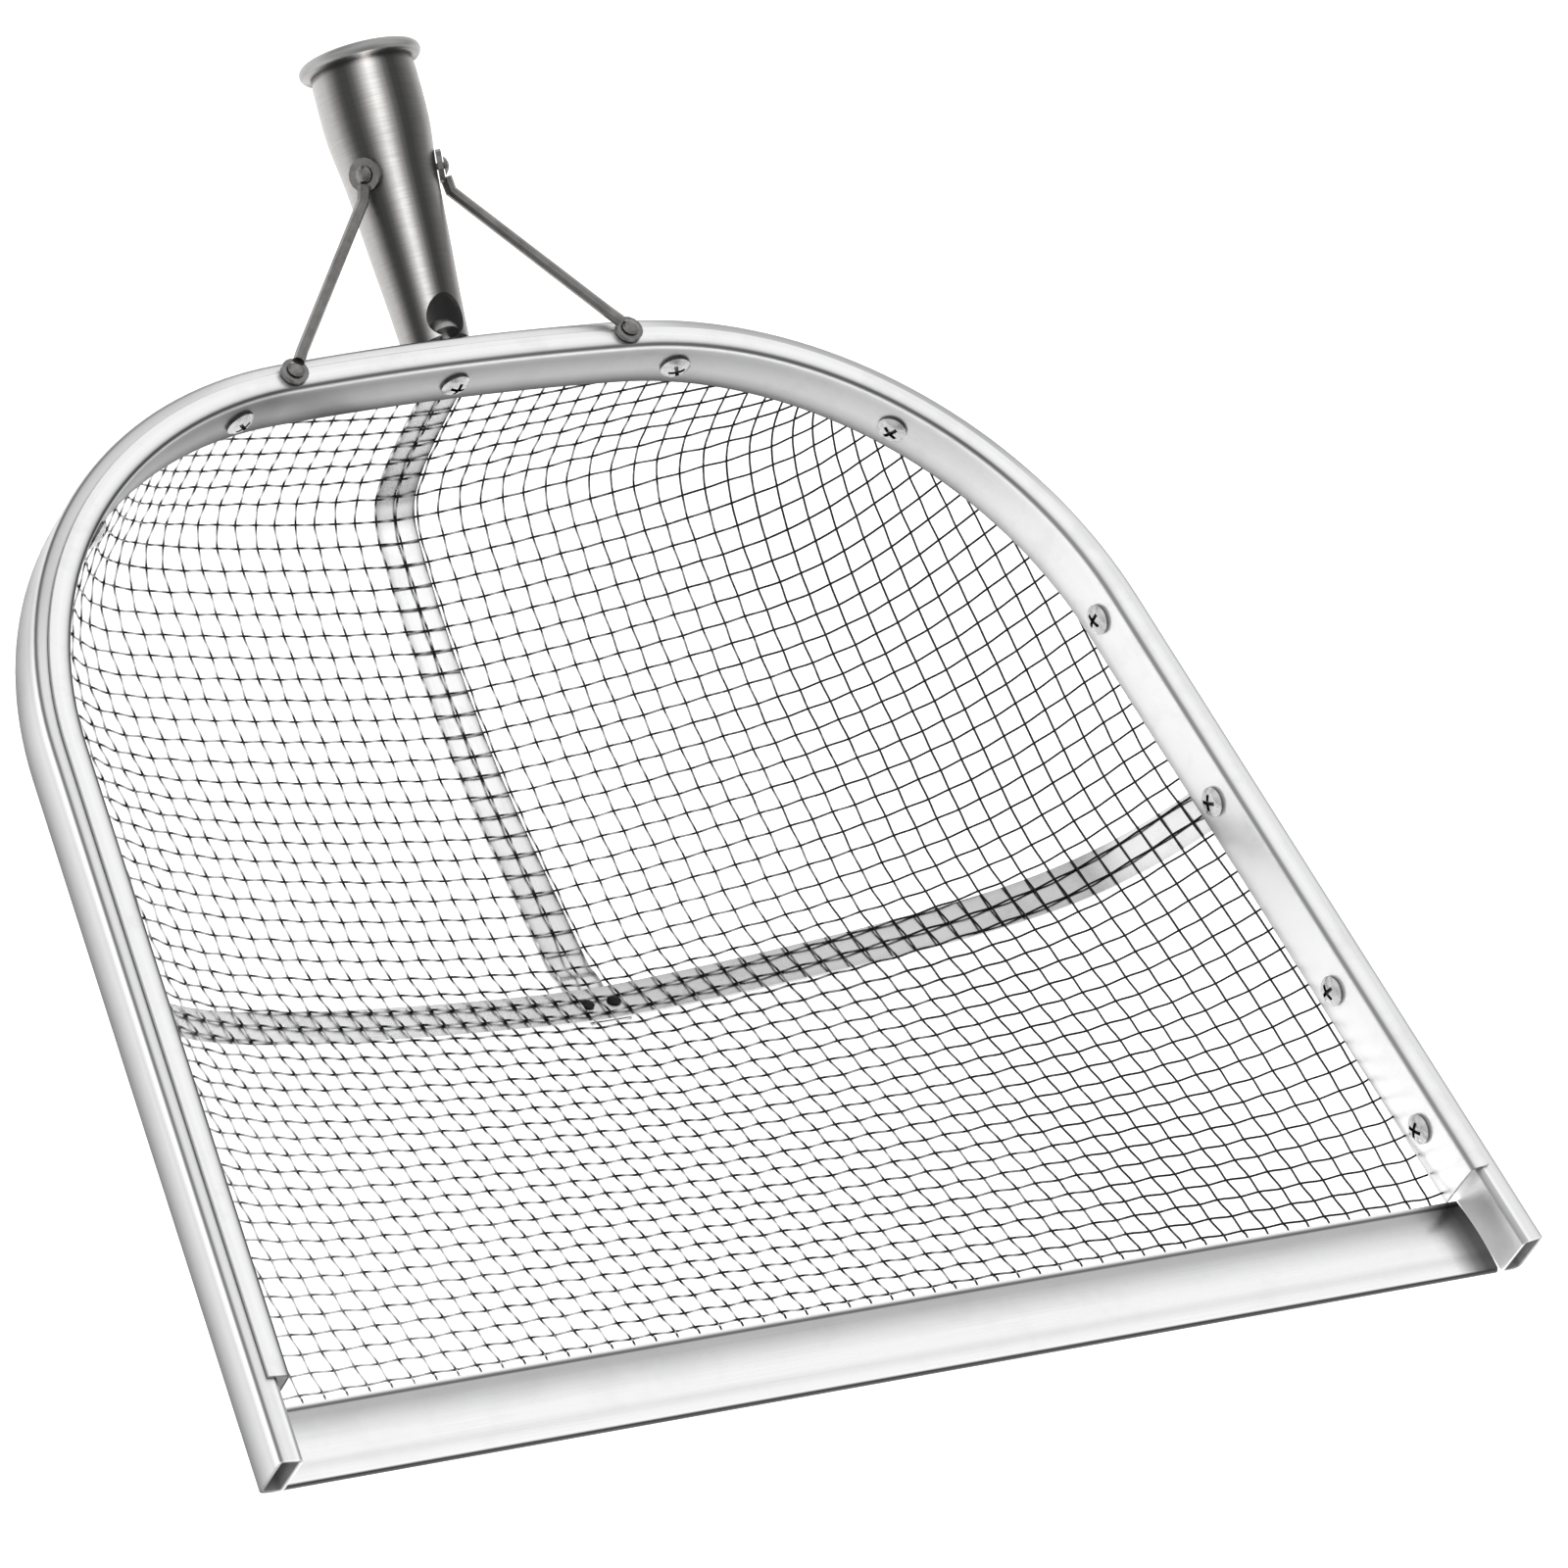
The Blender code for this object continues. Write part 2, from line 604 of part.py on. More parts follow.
def add_screws(mat):
    """Pan-head screws through the strip, the mesh and the tube's inner wall."""
    profile = head_profile(SCREW_HEAD_RADIUS, SCREW_HEAD_HEIGHT, SCREW_HEAD_RIM,
                           SCREW_SHANK_RADIUS, SCREW_LENGTH)
    stations = [(-1, s) for s in reversed(SCREW_STATIONS[1:])] + [(1, s) for s in SCREW_STATIONS]
    holes = []
    for number, (side, station) in enumerate(stations, 1):
        point, normal = plan_station(STRIP_FACE + GAP, station)
        axis = Vector((-normal.x * side, -normal.y, 0.0))
        placing = Matrix.Translation((point.x * side, point.y, -TUBE_HEIGHT / 2))
        turn = axis.to_track_quat("Z", "Y").to_matrix().to_4x4()
        screw = turned(f"clamp_screw_{number:02d}", profile, 12, mat)
        screw.matrix_local = placing @ turn
        recess_mesh = cross_recess("recess", RECESS_SIZE, RECESS_DEPTH)
        recess = cutter(f"recess_{number:02d}", recess_mesh)
        spin = Matrix.Rotation(RECESS_TURN * number, 4, "Z")
        recess.matrix_local = placing @ turn @ Matrix.Translation((0, 0, SCREW_HEAD_HEIGHT)) @ spin
        boolean(screw, recess).use_self = True
        hole_mesh = cylinder_mesh("screw_hole", SCREW_SHANK_RADIUS + GAP, SCREW_HOLE_LENGTH,
                                  DRILL_SEGMENTS)
        hole = cutter(f"screw_hole_{number:02d}", hole_mesh)
        hole.matrix_local = placing @ turn @ Matrix.Translation((0, 0, -DRILL_LENGTH))
        holes.append((hole, point, station))
    return holes


def add_rivet(name, point, axis, head_radius, head_height, length, mat):
    """A domed rivet with its head seated at the point."""
    profile = head_profile(head_radius, head_height, RIVET_RIM, RIVET_SHANK_RADIUS, length)
    rivet = turned(name, profile, 12, mat)
    rivet.matrix_local = Matrix.Translation(point) @ axis.to_track_quat("Z", "Y").to_matrix().to_4x4()
    return rivet


def drill(name, point, axis, radius, depth, segments=16):
    """A round cutter centred on a point."""
    hole = cutter(name, cylinder_mesh(name, radius, depth, segments))
    turn = axis.to_track_quat("Z", "Y").to_matrix().to_4x4()
    hole.matrix_local = Matrix.Translation(point) @ turn @ Matrix.Translation((0, 0, -depth / 2))
    return hole


# Socket and braces

def socket_matrix():
    """Placing of the socket: its axis is local Z, starting at the tube's back face."""
    foot = Vector((0.0, BACK_Y + GAP, SOCKET_FOOT_Z))
    axis = Vector((0.0, math.cos(SOCKET_TILT), math.sin(SOCKET_TILT)))
    return Matrix.Translation(foot) @ axis.to_track_quat("Z", "Y").to_matrix().to_4x4()


def socket_radius(station):
    """Outer radius of the socket at a distance along its axis."""
    for (z0, r0), (z1, r1) in zip(SOCKET_PROFILE, SOCKET_PROFILE[1:]):
        if station <= z1:
            return r0 + (r1 - r0) * (station - z0) / (z1 - z0)
    return SOCKET_PROFILE[-1][1]


def add_socket(mat):
    """Tapered socket with a rolled rim, closed at its foot."""
    top, mouth = SOCKET_PROFILE[-1]
    foot = SOCKET_PROFILE[0][1]
    bead_centre = mouth + BEAD_OFFSET
    bead = []
    for i in range(BEAD_STEPS + 1):
        a = math.pi / 2 - BEAD_TURN * i / BEAD_STEPS
        bead.append((bead_centre + RIM_RADIUS * math.cos(a), top + RIM_RADIUS * (1 + math.sin(a))))
    body = [(r, z) for z, r in reversed(SOCKET_PROFILE[:-1])]
    outer = [(0.0, top + 2 * RIM_RADIUS)] + bead + body
    outer += [(foot, -FOOT_RUN), (0.0, -FOOT_RUN)]
    socket = turned("handle_socket", outer, SOCKET_SEGMENTS, mat)
    socket.matrix_local = socket_matrix()
    cavity = [(0.0, CAVITY_TOP), (mouth - SOCKET_WALL, CAVITY_TOP)]
    cavity += [(r - SOCKET_WALL, z) for z, r in reversed(SOCKET_PROFILE)]
    cavity += [(foot - SOCKET_WALL, -FOOT_RUN), (0.0, -FOOT_RUN)]
    bore = turned("socket_bore", cavity, SOCKET_SEGMENTS)
    bore.matrix_local = socket_matrix()
    back = BACK_Y + GAP
    low = (-TRIM_HALF, back - TRIM_DEPTH, TRIM_LOW)
    bore_stop = box_mesh("bore_stop", low, (TRIM_HALF, back + FOOT_WALL, TRIM_HALF))
    boolean(bore, cutter("bore_stop", bore_stop))
    foot_trim = box_mesh("foot_trim", low, (TRIM_HALF, back, TRIM_HALF))
    boolean(socket, cutter("foot_trim", foot_trim))
    boolean(socket, bore)
    notch = cutter("foot_notch", cylinder_mesh("foot_notch", NOTCH_RADIUS, NOTCH_LENGTH))
    notch.location = (0.0, BACK_Y + NOTCH_Y, BOLT_Z)
    boolean(socket, notch)
    return socket


def brace_geometry(side):
    """Seats of a brace: foot and top points with their outward normals."""
    bow = BACK_RADIUS - BRACE_FOOT_OFFSET
    foot_y = BACK_CENTRE_Y + math.sqrt(bow ** 2 - BRACE_FOOT_X ** 2)
    foot = Vector((side * BRACE_FOOT_X, foot_y, GAP + SHEET))
    matrix = socket_matrix()
    axis = matrix.to_3x3() @ Vector((0, 0, 1))
    up = Vector((0.0, -math.sin(SOCKET_TILT), math.cos(SOCKET_TILT)))
    across = Vector((side, 0.0, 0.0))
    normal = up * math.cos(BRACE_TOP_ANGLE) + across * math.sin(BRACE_TOP_ANGLE)
    centre = matrix @ Vector((0, 0, BRACE_TOP_STATION))
    top = centre + normal * socket_radius(BRACE_TOP_STATION)
    (low_station, low_radius), _, (high_station, high_radius) = SOCKET_PROFILE[2:5]
    slope = (high_radius - low_radius) / (high_station - low_station)
    normal = (normal - axis * slope).normalized()
    return foot, Vector((0, 0, 1)), top, normal


def add_brace(side, name, mat):
    """A rod with a flattened eye at each end."""
    foot, foot_normal, top, top_normal = brace_geometry(side)
    run = (top - foot).normalized()
    foot_run = (run - foot_normal * run.dot(foot_normal)).normalized()
    top_run = (-run + top_normal * run.dot(top_normal)).normalized()
    lift = GAP + ROD_RADIUS
    start = foot + foot_normal * lift + foot_run * ROD_REACH
    end = top + top_normal * lift + top_run * ROD_REACH
    points = [start, start + foot_run * ROD_BEND + (end - start) * ROD_SHARE]
    points += [end + top_run * ROD_BEND + (start - end) * ROD_SHARE, end]
    mesh = rod(name, [tuple(p) for p in points], ROD_RADIUS)
    smooth(mesh, math.radians(50))
    brace = place(name, mesh, mat)
    hole_radius = RIVET_SHANK_RADIUS + GAP
    side_name = "left" if side < 0 else "right"
    ends = (("foot", foot, foot_normal, EYE_FOOT_RADIUS), ("top", top, top_normal, EYE_TOP_RADIUS))
    for label, point, normal, radius in ends:
        eye = drill(f"{name}_{label}_eye", point + normal * (GAP + EYE_THICKNESS / 2), normal,
                    radius, EYE_THICKNESS)
        boolean(brace, eye, "UNION")
        hole = drill(f"{name}_{label}_hole", point + normal * GAP, normal, hole_radius,
                     EYE_DRILL_LENGTH, DRILL_SEGMENTS)
        boolean(brace, hole)
        wall = drill(f"{name}_{label}_wall_hole", point, normal, hole_radius, DRILL_LENGTH,
                     DRILL_SEGMENTS)
        for drilled in (TUBE, STRIP) if label == "foot" else (SOCKET,):
            boolean(drilled, wall)
        head_seat = point + normal * (GAP + EYE_THICKNESS + GAP)
        add_rivet(f"{label}_rivet_{side_name}", head_seat, normal, RIVET_HEAD_RADIUS,
                  RIVET_HEAD_HEIGHT, RIVET_LENGTH, mat)


def add_foot_bolt(mat):
    """Domed bolt inside the socket's foot, through to the hollow of the tube."""
    seat = Vector((0.0, BACK_Y + GAP + FOOT_WALL + GAP, BOLT_Z))
    axis = Vector((0.0, 1.0, 0.0))
    profile = head_profile(BOLT_HEAD_RADIUS, BOLT_HEAD_HEIGHT, BOLT_RIM, BOLT_SHANK_RADIUS,
                           BOLT_LENGTH)
    bolt = turned("foot_bolt", profile, 16, mat)
    bolt.matrix_local = Matrix.Translation(seat) @ axis.to_track_quat("Z", "Y").to_matrix().to_4x4()
    hole = drill("foot_bolt_hole", seat - axis * FOOT_WALL, axis, BOLT_SHANK_RADIUS + GAP,
                 DRILL_LENGTH)
    boolean(SOCKET, hole)
    boolean(TUBE, hole)


def add_strap_rivets(mat):
    """The two fixings at the crossing, their heads inside cells of the mesh."""
    y = CROSS_STRAP_Y
    hole_radius = RIVET_SHANK_RADIUS + GAP
    cell_radius = STRAP_RIVET_RADIUS + GAP
    for side, name in ((-1, "strap_rivet_left"), (1, "strap_rivet_right")):
        x = side * STRAP_RIVET_X
        up = -basket_normal(x, y)
        surface = Vector((x, y, basket_z(x, y)))
        seat = surface - up * (STRAP_OFFSET - STRAP_THICKNESS / 2 - GAP)
        add_rivet(name, seat, up, STRAP_RIVET_RADIUS, STRAP_RIVET_HEIGHT, STRAP_RIVET_LENGTH, mat)
        cell = drill(name + "_cell", surface, up, cell_radius, CELL_DRILL_LENGTH, DRILL_SEGMENTS)
        boolean(BASKET, cell)
        hole = drill(name + "_hole", surface, up, hole_radius, EYE_DRILL_LENGTH, DRILL_SEGMENTS)
        boolean(CROSS_STRAP, hole)
        boolean(LONG_STRAP, hole)


def add_holes(holes):
    """Screw holes through everything that the clamp screws hold together."""
    for hole, point, station in holes:
        boolean(STRIP, hole)
        boolean(BASKET, hole)
        boolean(TUBE, hole)
        if station == 0.0:
            boolean(LONG_STRAP, hole)
        elif abs(point.y - CROSS_STRAP_Y) < STRAP_WIDTH / 2:
            boolean(CROSS_STRAP, hole)


for old in list(bpy.data.objects):
    bpy.data.objects.remove(old)
PARTS = collection("soil_sieve")
CUTTERS = collection("cutters")
BASE = bpy.data.objects.new("sieve_base", None)
PARTS.objects.link(BASE)
BASE.location = (0.0, -REST_Y, -REST_Z)

ALUMINIUM = material("satin_aluminium", (0.83, 0.83, 0.84), 0.30, 1.0)
STRIP_METAL = material("bright_strip", (0.90, 0.90, 0.91), 0.22, 1.0)
WIRE = material("steel_wire", (0.30, 0.30, 0.31), 0.40, 1.0)
BAND = material("galvanised_band", (0.62, 0.63, 0.64), 0.45, 1.0)
SOCKET_STEEL = material("socket_steel", (0.36, 0.34, 0.33), 0.28, 1.0)
ROD_STEEL = material("rod_steel", (0.42, 0.42, 0.42), 0.38, 1.0)
SCREW_STEEL = material("screw_steel", (0.72, 0.72, 0.73), 0.30, 1.0)

TUBE = add_tube(ALUMINIUM)
STRIP = add_strip(STRIP_METAL)
BASKET = add_basket(WIRE)
BLADE = add_blade(ALUMINIUM)
CROSS_STRAP = add_cross_strap(BAND)
LONG_STRAP = add_long_strap(BAND)
SOCKET = add_socket(SOCKET_STEEL)
add_brace(-1, "brace_left", ROD_STEEL)
add_brace(1, "brace_right", ROD_STEEL)
add_foot_bolt(ROD_STEEL)
add_strap_rivets(ROD_STEEL)
add_holes(add_screws(SCREW_STEEL))
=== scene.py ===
"""Looks of the soil sieve: woven wire, metal finishes, studio and camera.

Local frame of the sieve: X along the blade, y = 0 at the mouths, z = 0 on top of the frame tube.
SHIFT moves it on to the floor, with the middle of the object over the origin.
"""

import math

import bmesh
import bpy
import numpy as np
from mathutils import Euler, Matrix, Vector


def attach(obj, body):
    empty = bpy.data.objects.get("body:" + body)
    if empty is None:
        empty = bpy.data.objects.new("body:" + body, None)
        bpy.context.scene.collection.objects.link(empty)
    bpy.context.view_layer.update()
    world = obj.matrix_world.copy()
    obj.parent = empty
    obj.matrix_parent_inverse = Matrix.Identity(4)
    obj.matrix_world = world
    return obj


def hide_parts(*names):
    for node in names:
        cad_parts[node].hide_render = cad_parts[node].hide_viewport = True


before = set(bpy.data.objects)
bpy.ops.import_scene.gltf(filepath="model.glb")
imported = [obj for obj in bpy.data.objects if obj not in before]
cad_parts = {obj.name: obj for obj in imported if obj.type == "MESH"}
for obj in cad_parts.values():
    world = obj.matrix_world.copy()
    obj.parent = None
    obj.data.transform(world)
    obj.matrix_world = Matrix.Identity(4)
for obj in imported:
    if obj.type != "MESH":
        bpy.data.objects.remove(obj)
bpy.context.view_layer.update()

# Plan of the frame, as in the CAD
FRAME_WIDTH = 0.376
ARM_LENGTH = 0.2066
ARM_TAPER = 0.1203
CORNER_RADIUS = 0.118
BACK_RADIUS = 0.9536
MESH_RIM = 0.00825
MESH_Z = -0.01555
MESH_THICKNESS = 0.0005
MESH_START = 0.02285
BASKET_DEPTH = 0.0565
SLOPE = 0.4073
SLOPE_BLEND = 0.005
BACK_RISE_Y = 0.202
BACK_RISE_LENGTH = 0.100
BACK_RISE = 0.30
SIDE_BOW = 0.45
SIDE_BOW_POWER = 1.4
WALL_RATE_SIDE = 57.0
WALL_RATE_BACK = 400.0
SHIFT = Vector((0.0, -0.182, 0.0732))

# Woven wire
PITCH_ACROSS = 0.00635
PITCH_ALONG = 0.00610
WIRE_RADIUS = 0.00030
CRIMP = 0.00026
FIRST_ROW = 0.0015
SOLVER_STEPS = 12
SOLVER_STEP = 1e-6
SOLVER_MISS = 1e-7
SLOPE_STEP = 1e-5
WIRE_SIDES = 6
STEPS_PER_CELL = 4
MARGIN = 0.004
MARGIN_SHOWN = 0.0024
CRIMP_FADE = 0.002
BLADE_SLOT_Y = 0.0125

# Frame sections, as in the CAD
TUBE_WIDTH = 0.0068
TUBE_HEIGHT = 0.015
TUBE_WALL = 0.0011
TUBE_EDGE = 0.0016
GAP = 0.0003
SHEET = 0.0008
LIP_WIDTH = 0.0060
STRIP_FACE = 0.0096
BLADE_DEPTH = 0.0214
BLADE_CROWN = 0.0007
FOLD_EDGE = 0.0022
FOLD_TOP = 0.0010
STRAP_WIDTH = 0.012
STRAP_THICKNESS = 0.0006
STRAP_OFFSET = 0.00085
LAP_OFFSET = 0.0009
LAP_MARGIN = 0.001
LAP_RUN = 0.004
STRAP_BEND = 0.0002
CROSS_STRAP_Y = 0.147
MARGIN_TOP = -0.0028
SOCKET_TILT = math.radians(17.5)
SOCKET_FOOT_Z = -0.0084
SOCKET_WALL = 0.0012
SOCKET_CLOSED_FOOT = 0.0016
SOCKET_SIDES = 96
SOCKET_PROFILE = ((0.0, 0.0087), (0.0153, 0.0097), (0.0294, 0.0108), (0.0476, 0.0121),
                  (0.0618, 0.0137), (0.0780, 0.0137))
RIM_RADIUS = 0.0019
RIM_STAND = 0.0006
RIM_TURN = math.radians(225)
RIM_STEPS = 14
NOTCH_RADIUS = 0.0054
NOTCH_Y = 0.005
NOTCH_Z = -0.0036
SCREW_STATIONS = (0.0, 0.066, 0.128, 0.2035, 0.263, 0.324, 0.368)
SCREW_HEAD_RADIUS = 0.0040
SCREW_HEAD_HEIGHT = 0.0022
SCREW_HEAD_RIM = 0.0007
SCREW_SHANK_RADIUS = 0.0015
SCREW_LENGTH = 0.0062
RECESS_SIZE = 0.0044
RECESS_ARM = 0.0010
RECESS_DEPTH = 0.0011
RECESS_TURN = math.radians(37)
BOLT_HEAD_RADIUS = 0.0042
BOLT_HEAD_HEIGHT = 0.0044
BOLT_HEAD_RIM = 0.0010
BOLT_SHANK_RADIUS = 0.0015
BOLT_LENGTH = 0.005
BOLT_Y = 0.0022
BOLT_Z = -0.0030
HEAD_SIDES = 40

# Tones, as display greys, over the sections: painted shade, painted highlights and painted reflections
DISPLAY_POWER = 2.2
TUBE_SIDE_TONE = ((-0.0150, 0.26), (-0.0142, 0.33), (-0.0130, 0.44), (-0.0115, 0.55),
                  (-0.0090, 0.67), (-0.0050, 0.77), (-0.0026, 0.75), (-0.0014, 0.92), (0.0, 0.95))
TUBE_TOP_TONE = ((0.0, 0.95), (0.0003, 0.60), (0.0008, 0.55), (0.0013, 0.86), (0.0020, 0.93))
CORNER_TOP_TONE = ((0.0, 0.80), (0.0003, 0.56), (0.0008, 0.56), (0.0013, 0.68), (0.0024, 0.74),
                   (0.0036, 0.82))
LIP_TONE = ((0.0, 0.70), (0.05, 0.92), (0.45, 0.97), (0.66, 0.93), (0.80, 0.80), (0.88, 0.42))
LEG_TONE_BACK = ((0.0, 0.28), (0.07, 0.38), (0.20, 0.60), (0.38, 0.74), (0.55, 0.71), (0.80, 0.62),
                 (0.90, 0.70), (0.935, 1.0), (0.96, 0.95), (0.985, 0.45), (1.0, 0.42))
LEG_TONE_ARM = ((0.0, 0.66), (0.05, 0.80), (0.16, 0.95), (0.30, 0.99), (0.88, 0.99), (0.95, 0.94),
                (0.98, 0.42), (1.0, 0.40))
BLADE_TONE = ((0.0, 0.95), (0.0007, 0.93), (0.0009, 0.40), (0.0016, 0.42), (0.0020, 0.70),
              (0.0040, 0.72), (0.0060, 0.80), (0.0085, 0.89), (0.0120, 0.97), (0.0150, 0.97),
              (0.0170, 0.90), (0.0190, 0.97), (0.0230, 0.97))
CROSS_STRAP_TONE = ((-0.06, 1.0), (0.05, 0.84), (0.10, 0.82), (0.125, 0.76), (0.139, 0.75),
                    (0.147, 1.0))
INNER_WALL_TONE = 0.93
INNER_EDGE_TONE = 0.72
BORE_TONE = 0.5
FOLD_TONE = 0.30
UNDERSIDE_TONE = 0.82
RECESS_TONE = 0.34
HEAD_RIM_TONE = 0.42
HEAD_TONE = 0.84

# Where the tones apply: distances in the section, and turns as parts of the outward normal
TUBE_TOP_DROP = 0.0008
TUBE_TOP_REACH = 0.0045
INNER_EDGE_DROP = 0.0014
INNER_WALL_UP = (-0.0130, -0.0020)
RIGHT_CORNER_TURN = (0.02, 0.25, 0.80, 0.97)
LEFT_CORNER_TURN = (0.10, 0.35, 0.85, 0.98)
LEFT_CORNER_SHARE = 0.6
BACK_SHADE = 0.18
BACK_SHADE_TURN = (0.15, 0.50)
LEFT_LEG_SHADE = 0.20
LEFT_LEG_TURN = (-0.02, 0.12)
# Painted dark reflection of the tube, in the blade's corner beside the right arm
CORNER_REFLECTION_SHADE = 0.66
CORNER_REFLECTION_REACH = 0.0125
CORNER_REFLECTION_LEAN = 0.20
CORNER_REFLECTION_END = 0.0020
STRAP_EDGE_SHADE = 0.06
MIDDLE_EDGE_SHADE = 0.22
MIDDLE_REAR_SHADE = 0.16
MIDDLE_REAR_Z = (-0.056, -0.048)
MIDDLE_LAP_SHADE = 0.12
MIDDLE_LAP_Y = (0.170, 0.230)

# Painted shade on the wires: dark knots at the crossings, fainter to the left, and dark all along the
# wire to the right
RIGHT_WIRE_SHADE = 0.8
RIGHT_WIRE_SHADE_START = -0.02
RIGHT_WIRE_SHADE_RUN = 0.14
KNOT_SHADE_LEAST = 0.56
KNOT_SHADE_RUN = 0.16

# Finish of the visible sections
STRIP_BEND = 0.0010
STRIP_CROWN = 0.00025
ARC_STEPS = 6
ARM_STEPS = 16
CORNER_STEPS = 40
BACK_STEPS = 20
BEAD_START = SOCKET_PROFILE[-1][0] + 0.0004
BEAD_BLEND = 0.0004
BEAD_COLOUR = (0.31, 0.308, 0.305, 1.0)

# Painted reflections round the socket, as broad streaks: (share of a turn, grey level)
PAINTED_REFLECTIONS = ((0.0, 160), (0.024, 150), (0.052, 110), (0.076, 70), (0.090, 57), (0.110, 60),
           (0.127, 90), (0.143, 140), (0.162, 206), (0.178, 252), (0.191, 240), (0.211, 160),
           (0.228, 94), (0.246, 54), (0.265, 52), (0.287, 75), (0.311, 105), (0.337, 130),
           (0.409, 150), (0.47, 90), (0.55, 60), (0.62, 120), (0.68, 200), (0.74, 110),
           (0.80, 60), (0.86, 110), (0.92, 175), (1.0, 160))

# Studio: sky lobes as (axis, full within degrees, none beyond degrees, brightness)
SKY_BASE = 0.30
SKY_LOBES = (((0.53, 0.42, 0.73), 20.0, 66.0, 0.62),
             ((-0.75, -0.35, 0.65), 12.0, 50.0, 0.45),
             ((0.0, 0.0, 1.0), 10.0, 60.0, 0.20),
             ((-0.36, 0.42, 0.81), 10.0, 40.0, 0.40),
             ((0.53, -0.58, 0.61), 10.0, 45.0, 0.28),
             ((0.53, 0.81, 0.25), 8.0, 34.0, 0.35),
             ((-0.86, 0.42, 0.20), 8.0, 34.0, 0.55),
             ((0.53, -0.85, 0.08), 6.0, 32.0, 0.35))
FLOOR_SIZE = 12.0
FLOOR_DROP = 0.0005
FLOOR_GLOW = 0.64
# Painted glows: faint over the socket, on the blade side of the right mouth, and on the right arm's leg
HOLLOW_GLOW = 0.02
MOUTH_LIFT = 0.42
MOUTH_LIFT_DEPTH = (0.0015, 0.0140)
MOUTH_LIFT_END = (0.020, 0.034)
LEG_LIFT = 0.12
LEG_LIFT_TURN = (0.80, 0.98)
LAMP_PLACE = (-0.3, 0.2, 2.6)
LAMP_SIZE = 1.8
LAMP_POWER = 30.0
CAMERA_PLACE = (-1.75541, -1.43091, 2.51737)
CAMERA_TURN = (37.62132, -22.59642, -25.19647)
CAMERA_LENS = 302.868

TAPER_ANGLE = math.atan(ARM_TAPER)
ARM_NORMAL = np.array([math.cos(TAPER_ANGLE), math.sin(TAPER_ANGLE)])
MOUTH = np.array([FRAME_WIDTH / 2, 0.0])
CORNER_CENTRE = (MOUTH + np.array([-ARM_NORMAL[1], ARM_NORMAL[0]]) * ARM_LENGTH
                 - ARM_NORMAL * CORNER_RADIUS)
BACK_HALF_ANGLE = math.asin(CORNER_CENTRE[0] / (BACK_RADIUS - CORNER_RADIUS))
BACK_CENTRE_Y = CORNER_CENTRE[1] - (BACK_RADIUS - CORNER_RADIUS) * math.cos(BACK_HALF_ANGLE)
BACK_Y = BACK_CENTRE_Y + BACK_RADIUS
CORNER_ANGLE = math.pi / 2 - BACK_HALF_ANGLE - TAPER_ANGLE
STRIP_START_RUN = MESH_START / ARM_NORMAL[0]


def rim_distance(x, y):
    """Distance inside the outer outline and the outward plan normal, for arrays of points."""
    ax = np.abs(x)
    cx = ax - CORNER_CENTRE[0]
    cy = y - CORNER_CENTRE[1]
    corner_len = np.hypot(cx, cy)
    angle = np.arctan2(cy, cx)
    by = y - BACK_CENTRE_Y
    back_len = np.hypot(ax, by)
    back_angle = np.arctan2(ax, by)
    arm = (MOUTH[0] - ax) * ARM_NORMAL[0] + (MOUTH[1] - y) * ARM_NORMAL[1]
    in_back = (by > 0) & (back_angle < BACK_HALF_ANGLE)
    back = np.where(in_back, BACK_RADIUS - back_len, np.inf)
    in_corner = (cx > 0) & (angle > TAPER_ANGLE) & (angle < math.pi / 2 - BACK_HALF_ANGLE)
    use_back = ~in_corner & (back < arm)
    distance = np.where(in_corner, CORNER_RADIUS - corner_len, np.where(use_back, back, arm))
    safe_corner = np.maximum(corner_len, 1e-9)
    safe_back = np.maximum(back_len, 1e-9)
    nx = np.where(in_corner, cx / safe_corner, np.where(use_back, ax / safe_back, ARM_NORMAL[0]))
    ny = np.where(in_corner, cy / safe_corner, np.where(use_back, by / safe_back, ARM_NORMAL[1]))
    return distance, np.sign(x) * nx, ny


def basket_z(x, y, blend=SLOPE_BLEND):
    """Height of the middle of the mesh."""
    distance, _, ny = rim_distance(x, y)
    inside = np.maximum(distance - MESH_RIM, 0.0)
    slope = SLOPE * (y - MESH_START)
    h = np.maximum(blend - np.abs(slope - BASKET_DEPTH), 0.0) / blend
    front = np.minimum(slope, BASKET_DEPTH) - h * h * blend / 4
    back = 1.0 - BACK_RISE * (np.maximum(y - BACK_RISE_Y, 0.0) / BACK_RISE_LENGTH) ** 2
    half = FRAME_WIDTH / 2 - MESH_RIM - ARM_TAPER * np.minimum(y, ARM_LENGTH)
    bow = 1.0 - SIDE_BOW * np.minimum(np.abs(x) / half, 1.0) ** SIDE_BOW_POWER
    rate = WALL_RATE_SIDE + (WALL_RATE_BACK - WALL_RATE_SIDE) * ny ** 4
    wall = 1.0 - np.exp(-rate * inside)
    return MESH_Z - np.maximum(front, 0.0) * back * bow * wall


def basket_slopes(x, y, blend=SLOPE_BLEND):
    """Slopes of the basket along X and Y."""
    step = SLOPE_STEP
    return ((basket_z(x + step, y, blend) - basket_z(x - step, y, blend)) / (2 * step),
            (basket_z(x, y + step, blend) - basket_z(x, y - step, blend)) / (2 * step))


# Shape of the net: equal cells laid over the basket from its middle line and its front edge

def basket_point(x, y):
    """Point on the basket, running up the clamped margin outside the rim."""
    distance, nx, ny = rim_distance(x, y)
    over = MESH_RIM - distance
    if over <= 0.0:
        return np.array([x, y, basket_z(x, y)])
    return np.array([x - nx * over, y - ny * over, MESH_Z + over])


